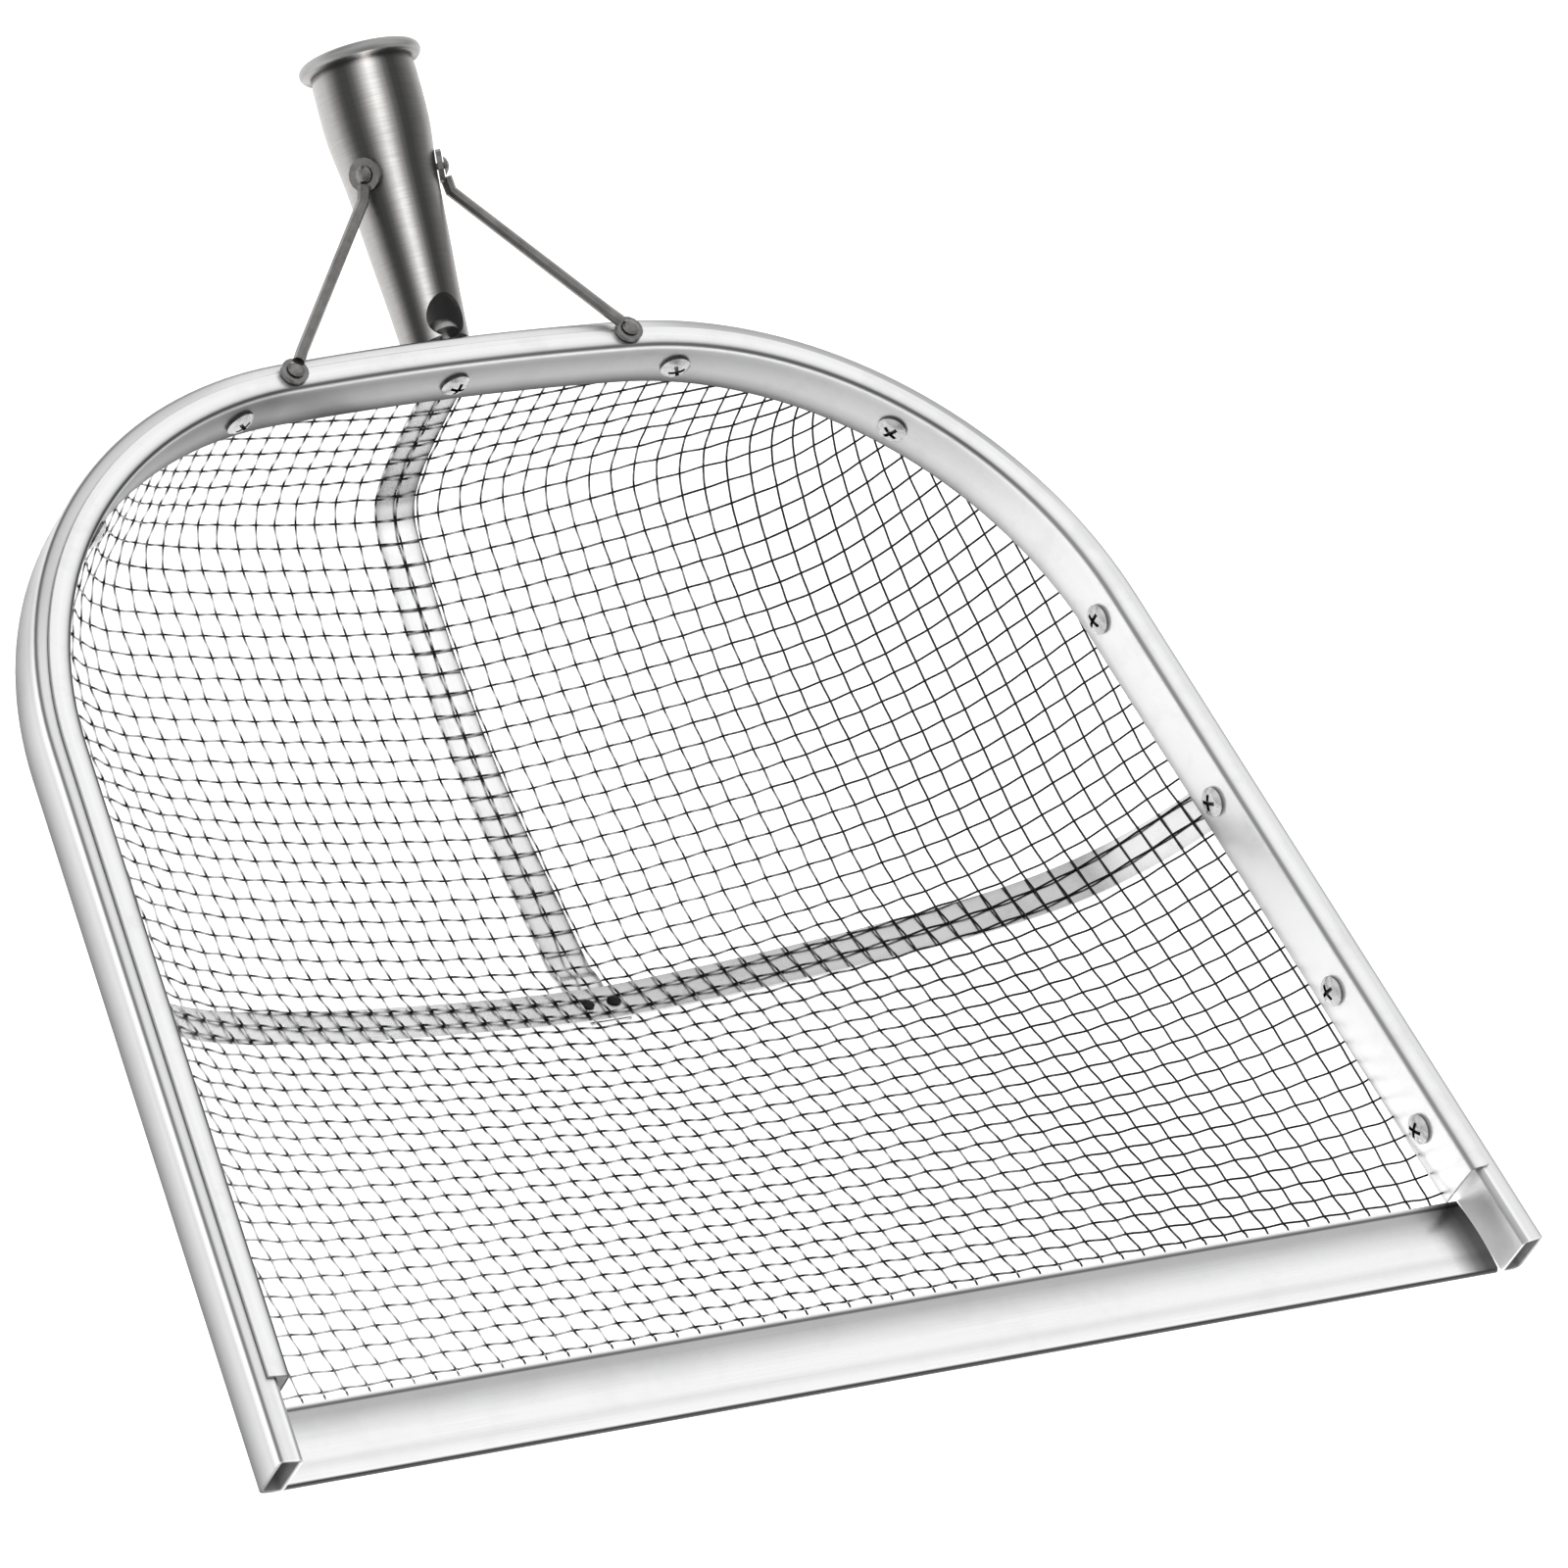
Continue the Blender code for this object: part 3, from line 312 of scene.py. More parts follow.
def step_from(a, b, guess):
    """Plan point one pitch across from a and one pitch along from b, near the guess."""
    xy = np.array(guess, dtype=float)
    for _ in range(SOLVER_STEPS):
        point = basket_point(*xy)
        miss = np.array([np.linalg.norm(point - a) - PITCH_ACROSS,
                         np.linalg.norm(point - b) - PITCH_ALONG])
        if np.abs(miss).max() < SOLVER_MISS:
            break
        columns = []
        for axis in range(2):
            moved = xy.copy()
            moved[axis] += SOLVER_STEP
            there = basket_point(*moved)
            columns.append([(np.linalg.norm(there - end) - np.linalg.norm(point - end)) / SOLVER_STEP
                            for end in (a, b)])
        jacobian = np.array(columns).T
        change = np.linalg.lstsq(jacobian, -miss, rcond=None)[0]
        size = np.linalg.norm(change)
        if size > PITCH_ALONG / 2:
            change *= PITCH_ALONG / 2 / size
        xy += change
    return xy


def step_along(a, heading, distance):
    """Plan point at a distance from plan point a, along a plan heading."""
    start = basket_point(*a)
    run = distance
    for _ in range(SOLVER_STEPS):
        there = a + heading * run
        run *= distance / np.linalg.norm(basket_point(*there) - start)
    return a + heading * run


def net():
    """Plan points of the crossings by (column, row): the right half, column 0 in the middle."""
    nodes = {(0, 0): np.array([0.0, MESH_START + FIRST_ROW])}

    def inside(point):
        return rim_distance(*point)[0] > MESH_RIM - MARGIN

    reach = [0, 0]
    for axis, pitch in enumerate((PITCH_ACROSS, PITCH_ALONG)):
        place = [0, 0]
        while inside(nodes[tuple(place)]):
            last = nodes[tuple(place)]
            place[axis] += 1
            nodes[tuple(place)] = step_along(last, np.eye(2)[axis], pitch)
        reach[axis] = place[axis]
    for i in range(1, reach[0] + 1):
        for j in range(1, reach[1] + 1):
            left = nodes.get((i - 1, j))
            below = nodes.get((i, j - 1))
            corner = nodes.get((i - 1, j - 1))
            if left is None or below is None or corner is None:
                continue
            if not (inside(left) or inside(below)):
                continue
            guess = left + below - corner
            nodes[(i, j)] = step_from(basket_point(*left), basket_point(*below), guess)
    return nodes


# Shared mesh work

def loft(count, rings):
    """Faces between closed rings that follow each other in the point list."""
    faces = []
    for k in range(rings - 1):
        a = k * count
        b = a + count
        faces += [(a + i, a + (i + 1) % count, b + (i + 1) % count, b + i) for i in range(count)]
    return faces


def ends(count, rings):
    """The faces that close the first and the last ring."""
    last = (rings - 1) * count
    return [tuple(reversed(range(count))), tuple(range(last, last + count))]


def closed_mesh(name, verts, faces):
    """A mesh with its normals outward."""
    mesh = bpy.data.meshes.new(name)
    mesh.from_pydata(verts, [], faces)
    bm = bmesh.new()
    bm.from_mesh(mesh)
    bmesh.ops.recalc_face_normals(bm, faces=bm.faces)
    bm.to_mesh(mesh)
    bm.free()
    return mesh


def finish(mesh, material, sharp):
    """Smooth shading up to an angle in degrees, and the material."""
    mesh.shade_smooth()
    mesh.set_sharp_from_angle(angle=math.radians(sharp))
    mesh.materials.clear()
    mesh.materials.append(material)


def linked(name, mesh):
    """A new object in the scene."""
    obj = bpy.data.objects.new(name, mesh)
    bpy.context.scene.collection.objects.link(obj)
    return obj


def stand_for(replaced, name, mesh):
    """A visible piece that takes the place of a CAD node."""
    obj = linked(name, mesh)
    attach(obj, "root")
    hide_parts(replaced)


# Wire tubes

def clearance(points):
    """How far inside the mesh rim each point is, in plan."""
    return rim_distance(points[:, 0], points[:, 1])[0] - MESH_RIM


def surface_normals(points):
    """Unit normals of the basket, pointing up and inwards."""
    x = points[:, 0]
    y = np.maximum(points[:, 1], MESH_START + 2 * SLOPE_STEP)
    slope_x, slope_y = basket_slopes(x, y)
    normals = np.stack([-slope_x, -slope_y, np.ones(len(x))], axis=1)
    _, nx, ny = rim_distance(points[:, 0], points[:, 1])
    at_margin = clearance(points) <= 1e-6
    margin = np.stack([-nx, -ny, np.zeros(len(x))], axis=1)
    in_hem = points[:, 1] <= MESH_START
    normals[at_margin & ~in_hem] = margin[at_margin & ~in_hem]
    normals[in_hem] = (0.0, 0.0, 1.0)
    return normals / np.linalg.norm(normals, axis=1)[:, None]


def spline(a, b, c, d, t):
    """Point between b and c on a smooth curve through four points."""
    return 0.5 * (2 * b + (c - a) * t + (2 * a - 5 * b + 4 * c - d) * t * t
                  + (3 * b - a - 3 * c + d) * t ** 3)


def dense_path(points, signs):
    """A crimped path through crossings: over where the sign is 1, under where it is -1."""
    points = np.array(points)
    signs = np.array(signs, dtype=float)
    padded = np.vstack([2 * points[0] - points[1], points, 2 * points[-1] - points[-2]])
    path = []
    waves = []
    knots = []
    for k in range(len(points) - 1):
        for step in range(STEPS_PER_CELL):
            t = step / STEPS_PER_CELL
            path.append(spline(*padded[k:k + 4], t))
            blend = 0.5 - 0.5 * math.cos(math.pi * t)
            knots.append(0.5 + 0.5 * math.cos(2 * math.pi * t))
            waves.append(signs[k] * (1 - blend) + signs[k + 1] * blend)
    path.append(points[-1])
    waves.append(signs[-1])
    knots.append(1.0)
    path = np.array(path)
    normals = surface_normals(path)
    amplitude = np.clip(clearance(path) / CRIMP_FADE, 0.0, 1.0)
    amplitude *= np.clip((path[:, 1] - MESH_START) / CRIMP_FADE, 0.0, 1.0)
    path = path + normals * (np.array(waves) * amplitude * CRIMP)[:, None]
    return path, normals, np.array(knots)


def clip_path(path, normals, knots):
    """The longest run of a path that stays below the end of the clamped margin."""
    shown = path[:, 2] < MESH_Z + MARGIN_SHOWN
    edges = np.flatnonzero(np.diff(np.concatenate([[False], shown, [False]])))
    runs = list(zip(edges[::2], edges[1::2]))
    low, high = max(runs, key=lambda run: run[1] - run[0], default=(0, 0))
    return path[low:high], normals[low:high], knots[low:high]


def tubes(name, paths, material):
    """One mesh of round wires along the paths."""
    verts = []
    faces = []
    knots = []
    angles = 2 * math.pi * np.arange(WIRE_SIDES) / WIRE_SIDES
    for path, normals, knot in paths:
        if len(path) < 3:
            continue
        tangents = np.gradient(path, axis=0)
        tangents /= np.linalg.norm(tangents, axis=1)[:, None]
        side = np.cross(tangents, normals)
        side /= np.linalg.norm(side, axis=1)[:, None]
        up = np.cross(side, tangents)
        rings = (path[:, None, :] + WIRE_RADIUS * (np.cos(angles)[None, :, None] * side[:, None, :]
                                                   + np.sin(angles)[None, :, None] * up[:, None, :]))
        start = len(verts)
        verts.extend(map(tuple, (rings + np.array(SHIFT)).reshape(-1, 3)))
        # Painted shade: knots painted fainter to the left, and the whole wire painted dark to the right
        right_wire_shade = RIGHT_WIRE_SHADE * np.clip((path[:, 0] - RIGHT_WIRE_SHADE_START) / RIGHT_WIRE_SHADE_RUN, 0.0, 1.0)
        knot_shade_share = KNOT_SHADE_LEAST + (1 - KNOT_SHADE_LEAST) * np.clip(path[:, 0] / KNOT_SHADE_RUN + 1, 0.0, 1.0)
        knots.extend(np.repeat(np.maximum(knot * knot_shade_share, right_wire_shade), WIRE_SIDES))
        faces += [tuple(start + v for v in reversed(face)) for face in loft(WIRE_SIDES, len(path))]
        faces += [tuple(start + v for v in reversed(face)) for face in ends(WIRE_SIDES, len(path))]
    mesh = bpy.data.meshes.new(name)
    mesh.from_pydata(verts, [], faces)
    mesh.attributes.new("knot", "FLOAT", "POINT").data.foreach_set("value", knots)
    mesh.shade_smooth()
    mesh.materials.append(material)
    stand_for("mesh_basket", name, mesh)


def wires(long_material, cross_material):
    """The long wires, from the blade to the back, and the cross wires, from arm to arm."""
    nodes = net()

    def crossing(i, j):
        return basket_point(*nodes[(abs(i), j)]) * np.array([-1.0 if i < 0 else 1.0, 1.0, 1.0])

    columns = max(i for i, _ in nodes)
    rows = max(j for _, j in nodes)
    long_paths = []
    for i in range(-columns, columns + 1):
        run = [j for j in range(rows + 1) if (abs(i), j) in nodes]
        if len(run) < 3:
            continue
        points = [crossing(i, j) for j in run]
        signs = [1 if (i + j) % 2 else -1 for j in run]
        hem = [np.array([points[0][0], y, MESH_Z])
               for y in (BLADE_SLOT_Y, (BLADE_SLOT_Y + MESH_START) / 2, MESH_START)]
        long_paths.append(clip_path(*dense_path(hem + points, [0] * len(hem) + signs)))
    cross_paths = []
    for j in range(rows + 1):
        run = [i for i in range(columns + 1) if (i, j) in nodes]
        reach = len(run) - 1
        if reach < 2:
            continue
        points = [crossing(i, j) for i in range(-reach, reach + 1)]
        signs = [-1 if (i + j) % 2 else 1 for i in range(-reach, reach + 1)]
        cross_paths.append(clip_path(*dense_path(points, signs)))
    tubes("mesh_long_wires", long_paths, long_material)
    tubes("mesh_cross_wires", cross_paths, cross_material)


# Swept sections

def plan_station(offset, station):
    """Point and outward normal at an arc length from the back centre, on the right side."""
    bow = BACK_RADIUS - offset
    corner = CORNER_RADIUS - offset
    bow_length = bow * BACK_HALF_ANGLE
    corner_length = corner * CORNER_ANGLE
    if station <= bow_length:
        a = station / bow
        normal = np.array([math.sin(a), math.cos(a)])
        return np.array([0.0, BACK_CENTRE_Y]) + normal * bow, normal
    if station <= bow_length + corner_length:
        a = math.pi / 2 - BACK_HALF_ANGLE - (station - bow_length) / corner
        normal = np.array([math.cos(a), math.sin(a)])
        return CORNER_CENTRE + normal * corner, normal
    direction = np.array([-ARM_NORMAL[1], ARM_NORMAL[0]])
    run = ARM_LENGTH - (station - bow_length - corner_length)
    return MOUTH - ARM_NORMAL * offset + direction * run, ARM_NORMAL


def frame_path(start):
    """Plan points, outward normals and lengths, from the right mouth round to the left."""
    bow = BACK_RADIUS * BACK_HALF_ANGLE
    corner = bow + CORNER_RADIUS * CORNER_ANGLE
    stations = [*np.linspace(0.0, bow, BACK_STEPS, endpoint=False),
                *np.linspace(bow, corner, CORNER_STEPS, endpoint=False),
                *np.linspace(corner, corner + ARM_LENGTH - start, ARM_STEPS + 1)]
    right = [plan_station(0.0, station) for station in reversed(stations)]
    flip = np.array([-1.0, 1.0])
    both = right + [(point * flip, normal * flip) for point, normal in reversed(right[:-1])]
    points, normals = map(np.array, zip(*both))
    steps = np.linalg.norm(np.diff(points, axis=0), axis=1)
    return points, normals, np.concatenate([[0.0], np.cumsum(steps)])


def arc(cx, cz, radius, first, last, steps=ARC_STEPS):
    """Points of an arc in a section."""
    angles = [math.radians(first + (last - first) * i / steps) for i in range(steps + 1)]
    return [(cx + radius * math.cos(a), cz + radius * math.sin(a)) for a in angles]


def rounded_box(outer, inner, low, high, edge, steps=ARC_STEPS):
    """Rounded rectangle as (inwards, up) points."""
    points = arc(inner - edge, high - edge, edge, 0, 90, steps)
    top = [(inner - edge + (outer + 2 * edge - inner) * t, high) for t in (0.33, 0.67)]
    points += top + arc(outer + edge, high - edge, edge, 90, 180, steps)
    points += [(outer, high - edge + (low + 2 * edge - high) * t) for t in (0.15, 0.3, 0.5, 0.7, 0.85)]
    points += arc(outer + edge, low + edge, edge, 180, 270, steps)
    points += arc(inner - edge, low + edge, edge, 270, 360, steps)
    points += [(inner, low + edge + (high - low - 2 * edge) * t) for t in (0.25, 0.5, 0.75)]
    return points


def build(name, verts, faces, material, replaced, tones, lays, sharp=40.0, lifts=None):
    """A piece that stands for a CAD node, with its tone, lay and lift stored on its points."""
    mesh = closed_mesh(name, [tuple(np.array(v) + np.array(SHIFT)) for v in verts], faces)
    linear = [tone ** DISPLAY_POWER for tone in tones]
    mesh.attributes.new("tone", "FLOAT", "POINT").data.foreach_set("value", linear)
    if lifts:
        mesh.attributes.new("lift", "FLOAT", "POINT").data.foreach_set("value", lifts)
    flat = [c for lay in lays for c in (*lay, 0.0)]
    mesh.attributes.new("lay", "FLOAT_VECTOR", "POINT").data.foreach_set("vector", flat)
    finish(mesh, material, sharp)
    stand_for(replaced, name, mesh)
    return mesh


def sweep(section, start, tone):
    """Rings, tones and lays of a section swept along the frame."""
    points, normals, lengths = frame_path(start)
    around = np.concatenate([[0.0], np.cumsum(np.linalg.norm(np.diff(np.array(section), axis=0),
                                                             axis=1))])
    verts = []
    tones = []
    lays = []
    for p, n, length in zip(points, normals, lengths):
        for (inwards, up), girth in zip(section, around):
            q = p - n * inwards
            verts.append((q[0], q[1], up))
            tones.append(tone(inwards, up, n))
            lays.append((length, girth))
    return verts, tones, lays, len(points)


def ease(value, low, high):
    """Smooth step from 0 at low to 1 at high."""
    t = min(max((value - low) / (high - low), 0.0), 1.0)
    return t * t * (3 - 2 * t)


def between(value, start, full, fade, gone):
    """Smooth step up and, further on, smooth step down again."""
    return ease(value, start, full) * (1 - ease(value, fade, gone))


def tone_curve(value, stops):
    """Tone at a value, from (value, tone) stops in rising order."""
    return float(np.interp(value, [stop[0] for stop in stops], [stop[1] for stop in stops]))


def tube_tone(inwards, up, normal):
    """Painted shade and painted highlights on the tube: dark along the lower outer edge, pale over the
    top.
    """
    if up > -TUBE_TOP_DROP and inwards < TUBE_TOP_REACH:
        corner = (between(normal[0], *RIGHT_CORNER_TURN)
                  + LEFT_CORNER_SHARE * between(-normal[0], *LEFT_CORNER_TURN))
        return (tone_curve(inwards, TUBE_TOP_TONE) * (1 - corner)
                + tone_curve(inwards, CORNER_TOP_TONE) * corner)
    if inwards < TUBE_WIDTH / 2:
        return tone_curve(up, TUBE_SIDE_TONE) * (1 - BACK_SHADE * ease(normal[1], *BACK_SHADE_TURN))
    if up > -INNER_EDGE_DROP and inwards > TUBE_WIDTH - TUBE_EDGE * 0.85:
        return INNER_EDGE_TONE
    return INNER_WALL_TONE + (1 - INNER_WALL_TONE) * ease(up, *INNER_WALL_UP)


def mouth_lift(point):
    """Painted glow on the blade side of the right mouth, in place of light that it gathers from the
    bright blade.
    """
    if not 0 < point[0] < MOUTH[0] - TUBE_WIDTH / 2 - ARM_TAPER * point[1]:
        return 0.0
    return MOUTH_LIFT * ease(-point[2], *MOUTH_LIFT_DEPTH) * (1 - ease(point[1], *MOUTH_LIFT_END))


def frame_tube(material, inside_material):
    """The bent tube with its wall, open at both mouths."""
    outer = rounded_box(0.0, TUBE_WIDTH, -TUBE_HEIGHT, 0.0, TUBE_EDGE)
    inner = rounded_box(TUBE_WALL, TUBE_WIDTH - TUBE_WALL, -TUBE_HEIGHT + TUBE_WALL, -TUBE_WALL,
                        TUBE_EDGE - TUBE_WALL)
    verts, tones, lays, rings = sweep(outer, 0.0, tube_tone)
    inside, dark, lays_inside, _ = sweep(inner, 0.0, lambda inwards, up, normal: BORE_TONE)
    count = len(outer)
    offset = len(verts)
    skin = loft(count, rings)
    faces = skin + [tuple(offset + v for v in face) for face in skin]
    for a in (0, (rings - 1) * count):
        for i in range(count):
            j = (i + 1) % count
            faces.append((a + i, a + j, offset + a + j, offset + a + i))
    tube = build("bent_tube", verts + inside, faces, material, "frame_tube", tones + dark,
                 lays + lays_inside, lifts=[mouth_lift(v) for v in verts] + [0.0] * len(inside))
    tube.materials.append(inside_material)
    for face in tube.polygons[len(skin):2 * len(skin)]:
        face.material_index = 1


def strip_tone(inwards, up, normal):
    """Bright strip with painted shade: a painted dark line along its bend, and a leg painted darker
    downwards at the back.
    """
    if inwards > STRIP_FACE - STRIP_BEND * 0.9:
        at_back = min(max(0.5 + 0.5 * (normal[1] - normal[0]), 0.0), 1.0)
        height = (up + TUBE_HEIGHT) / (TUBE_HEIGHT + GAP + SHEET)
        dark = (tone_curve(height, LEG_TONE_BACK)
                * (1.0 - LEFT_LEG_SHADE * ease(-normal[0], *LEFT_LEG_TURN)))
        return dark * at_back + tone_curve(height, LEG_TONE_ARM) * (1 - at_back)
    return tone_curve((inwards - (STRIP_FACE - LIP_WIDTH)) / LIP_WIDTH, LIP_TONE)


def strip_lift(inwards, up, normal):
    """Painted glow on the right arm's leg, in place of light that it gathers from the bright mesh side.
    """
    return LEG_LIFT * ease(normal[0], *LEG_LIFT_TURN) * (inwards > STRIP_FACE - STRIP_BEND)


def clamp_strip(material):
    """The L-section strip, with a rounded bend and a slightly crowned leg."""
    low = -TUBE_HEIGHT
    high = GAP + SHEET
    leg = STRIP_FACE - SHEET
    bend = STRIP_BEND
    inner_bend = bend - SHEET
    start = STRIP_FACE - LIP_WIDTH
    section = [(STRIP_FACE - 0.0002, low), (STRIP_FACE, low + 0.0002)]
    for i in range(1, 16):
        t = i / 16
        rise = STRIP_CROWN * (1 - (2 * t - 1) ** 2)
        section.append((STRIP_FACE + rise, low + (high - bend - low) * t))
    section += arc(STRIP_FACE - bend, high - bend, bend, 0, 90)
    section += [(STRIP_FACE - bend - (LIP_WIDTH - bend) * t, high) for t in (0.1, 0.25, 0.5, 0.75)]
    section += arc(start + 0.0003, high - 0.0003, 0.0003, 90, 180, 3)
    section += [(start, GAP)]
    section += arc(leg - inner_bend, GAP - inner_bend, inner_bend, 90, 0, 3)
    section += [(leg, low)]
    verts, tones, lays, rings = sweep(section, STRIP_START_RUN, strip_tone)
    count = len(section)
    faces = loft(count, rings) + ends(count, rings)
    _, lifts, _, _ = sweep(section, STRIP_START_RUN, strip_lift)
    build("edge_strip", verts, faces, material, "clamp_strip", tones, lays, sharp=50.0,
          lifts=lifts)


def blade_tone(x, y, up, half):
    """Rolled sheet with painted shade: a painted dark line at the hem behind, painted grey to bright
    towards the front, painted shade under the fold, and a painted dark reflection of the tube in the
    corner beside the right arm.
    """
    if up < MESH_Z + FOLD_TOP:
        return FOLD_TONE if y < FOLD_EDGE else UNDERSIDE_TONE
    corner = ease(x, half - CORNER_REFLECTION_REACH - CORNER_REFLECTION_LEAN * y, half - CORNER_REFLECTION_END)
    return tone_curve(BLADE_DEPTH - y, BLADE_TONE) * (1 - CORNER_REFLECTION_SHADE * corner)


def blade(material):
    """The folded lip, its ends trimmed to the leaning arms."""
    slot = MESH_THICKNESS / 2 + GAP
    nose = slot + SHEET
    shares = [i / 50 for i in range(8)] + [0.16 + 0.84 * i / 20 for i in range(21)]
    upper = []
    under = []
    for t in shares:
        y = BLADE_DEPTH + (nose - BLADE_DEPTH) * t
        rise = BLADE_CROWN * (1 - (2 * t - 1) ** 2)
        upper.append((y, MESH_Z + nose + rise))
        under.append((y, MESH_Z + slot + rise))
    fold = [(nose + nose * math.cos(a), MESH_Z + nose * math.sin(a))
            for a in [math.pi / 2 + math.pi * i / 12 for i in range(1, 12)]]
    low = [(nose, MESH_Z - nose), (FOLD_EDGE, MESH_Z - nose),
           (BLADE_DEPTH, MESH_Z - nose), (BLADE_DEPTH, MESH_Z - slot),
           (nose + slot, MESH_Z - slot), (nose + slot, MESH_Z + slot)]
    section = upper + fold + low + under[:-1][::-1]
    verts = []
    tones = []
    lays = []
    across = [i / 60 for i in range(-60, 61)]
    for f in across:
        for y, z in section:
            half = MOUTH[0] - (TUBE_WIDTH + 0.00002) / ARM_NORMAL[0] - ARM_TAPER * y
            verts.append((f * half, y, z))
            tones.append(blade_tone(f * half, y, z, half))
            lays.append((f * half, y + z))
    count = len(section)
    faces = loft(count, len(across)) + ends(count, len(across))
    build("folded_blade", verts, faces, material, "blade", tones, lays)


def below_basket(x, y, drop, blend):
    """Point at a distance under the mesh surface, whose slope is rounded by blend."""
    slope_x, slope_y = basket_slopes(x, y, blend)
    normal = np.array([slope_x, slope_y, -1.0])
    normal /= np.linalg.norm(normal)
    return np.array([x, y, basket_z(x, y, blend)]) + normal * drop


def band(name, rows, material, replaced, tone):
    """A flat band from rows of points along it; tone gives its grey at a point."""
    verts = []
    tones = []
    lays = []
    rows = [np.array(row) for row in rows]
    count = len(rows[0])
    length = 0.0
    for k, row in enumerate(rows):
        ahead = rows[min(k + 1, len(rows) - 1)] - rows[max(k - 1, 0)]
        side = row[-1] - row[0]
        if k:
            length += float(np.linalg.norm((row - rows[k - 1])[count // 2]))
        normals = np.cross(ahead, side[None, :])
        normals /= np.linalg.norm(normals, axis=1)[:, None]
        top = row + normals * STRAP_THICKNESS / 2
        bottom = row - normals * STRAP_THICKNESS / 2
        verts += [tuple(v) for v in top] + [tuple(v) for v in bottom[::-1]]
        for i in list(range(count)) + list(range(count))[::-1]:
            tones.append(tone(row[i], abs(2 * i / (count - 1) - 1)))
            lays.append((length, STRAP_WIDTH * i / (count - 1)))
    ring = 2 * count
    faces = loft(ring, len(rows)) + ends(ring, len(rows))
    build(name, verts, faces, material, replaced, tones, lays, sharp=35.0)


def across_band(count=7):
    """Positions across a strap."""
    return [STRAP_WIDTH * (i / (count - 1) - 0.5) for i in range(count)]


def cross_strap(material):
    """Band from arm to arm, with both ends turned up behind the strip."""
    lines = [CROSS_STRAP_Y + t for t in across_band()]
    rim_x = [MOUTH[0] - MESH_RIM / ARM_NORMAL[0] - ARM_TAPER * y for y in lines]
    end_x = [x + STRAP_OFFSET / ARM_NORMAL[0] for x in rim_x]
    half = []
    fractions = [1 - (1 - i / 40) ** 1.6 for i in range(40)]
    for f in fractions:
        half.append([below_basket(x * f, y, STRAP_OFFSET, SLOPE_BLEND) for x, y in zip(rim_x, lines)])
    half += [[np.array([x, y, z]) for x, y in zip(end_x, lines)] for z in (MESH_Z, MARGIN_TOP)]
    flip = np.array([-1.0, 1.0, 1.0])
    rows = [[p * flip for p in row] for row in reversed(half[1:])] + half
    # Painted light and shade along the strap: pale on the left, greyer to the right, pale again where it
    # turns up at the right, and painted shade at its edges
    band("arm_to_arm_strap", rows, material, "cross_strap",
         lambda p, edge: tone_curve(p[0], CROSS_STRAP_TONE) - STRAP_EDGE_SHADE * edge ** 4)


def middle_strap_tone(point, edge):
    """Pale band on the basket's floor, with painted shade at its edges, towards the rear where it rises,
    and near the lap.
    """
    return (1.0 - MIDDLE_EDGE_SHADE * edge ** 6
            - MIDDLE_REAR_SHADE * ease(point[2], *MIDDLE_REAR_Z)
            - MIDDLE_LAP_SHADE * (1 - ease(point[1], *MIDDLE_LAP_Y)))


def long_strap(material):
    """Band in the middle plane, lapped under the cross strap and turned up at the back."""
    lap_end = CROSS_STRAP_Y + STRAP_WIDTH / 2 + LAP_MARGIN
    start = CROSS_STRAP_Y - STRAP_WIDTH / 2
    rear = BACK_Y - MESH_RIM
    stations = [start + (lap_end - start) * i / 6 for i in range(6)]
    stations += [lap_end + LAP_RUN * i / 6 for i in range(6)]
    stations += [lap_end + LAP_RUN + (BACK_RISE_Y - lap_end - LAP_RUN) * i / 14 for i in range(14)]
    stations += [rear - (rear - BACK_RISE_Y) * (1 - i / 50) ** 1.8 for i in range(49)]
    rows = []
    for y in stations:
        lap = LAP_OFFSET * (1 - ease(y, lap_end, lap_end + LAP_RUN))
        centre = below_basket(0.0, y, STRAP_OFFSET + lap, STRAP_BEND)
        rows.append([centre + np.array([x, 0.0, 0.0]) for x in across_band()])
    bow = BACK_RADIUS - MESH_RIM + STRAP_OFFSET
    for z in (MESH_Z, MARGIN_TOP):
        rows.append([np.array([x, BACK_CENTRE_Y + math.sqrt(bow ** 2 - x ** 2), z])
                     for x in across_band()])
    band("middle_strap", rows, material, "long_strap", middle_strap_tone)


# Socket

def socket_frame():
    """Turn and foot of the socket: its axis is local Z."""
    turn = Euler((SOCKET_TILT - math.pi / 2, 0.0, 0.0)).to_matrix().to_4x4()
    foot = Vector((0.0, BACK_Y + GAP, SOCKET_FOOT_Z)) + SHIFT
    return Matrix.Translation(foot) @ turn


def temporary(name, verts, faces):
    """A mesh object that cuts another or is cut."""
    return linked(name, closed_mesh(name, verts, faces))


def lathe(profile, segments):
    """Points and faces of a (radius, height) profile turned around Z, poles at both ends."""
    verts = [(0.0, 0.0, profile[0][1]), (0.0, 0.0, profile[-1][1])]
    ring = profile[1:-1]
    for i in range(segments):
        a = 2 * math.pi * i / segments
        verts += [(r * math.cos(a), r * math.sin(a), z) for r, z in ring]
    faces = []
    count = len(ring)
    for i in range(segments):
        a = 2 + i * count
        b = 2 + (i + 1) % segments * count
        faces.append((0, a, b))
        faces.append((1, b + count - 1, a + count - 1))
        faces += [(a + k, a + k + 1, b + k + 1, b + k) for k in range(count - 1)]
    return verts, faces


def block(low, high):
    """Points and faces of a box."""
    corners = [(x, y, z) for x in (low[0], high[0]) for y in (low[1], high[1]) for z in (low[2], high[2])]
    faces = [(0, 1, 3, 2), (4, 6, 7, 5), (0, 4, 5, 1), (2, 3, 7, 6), (0, 2, 6, 4), (1, 5, 7, 3)]
    return corners, faces


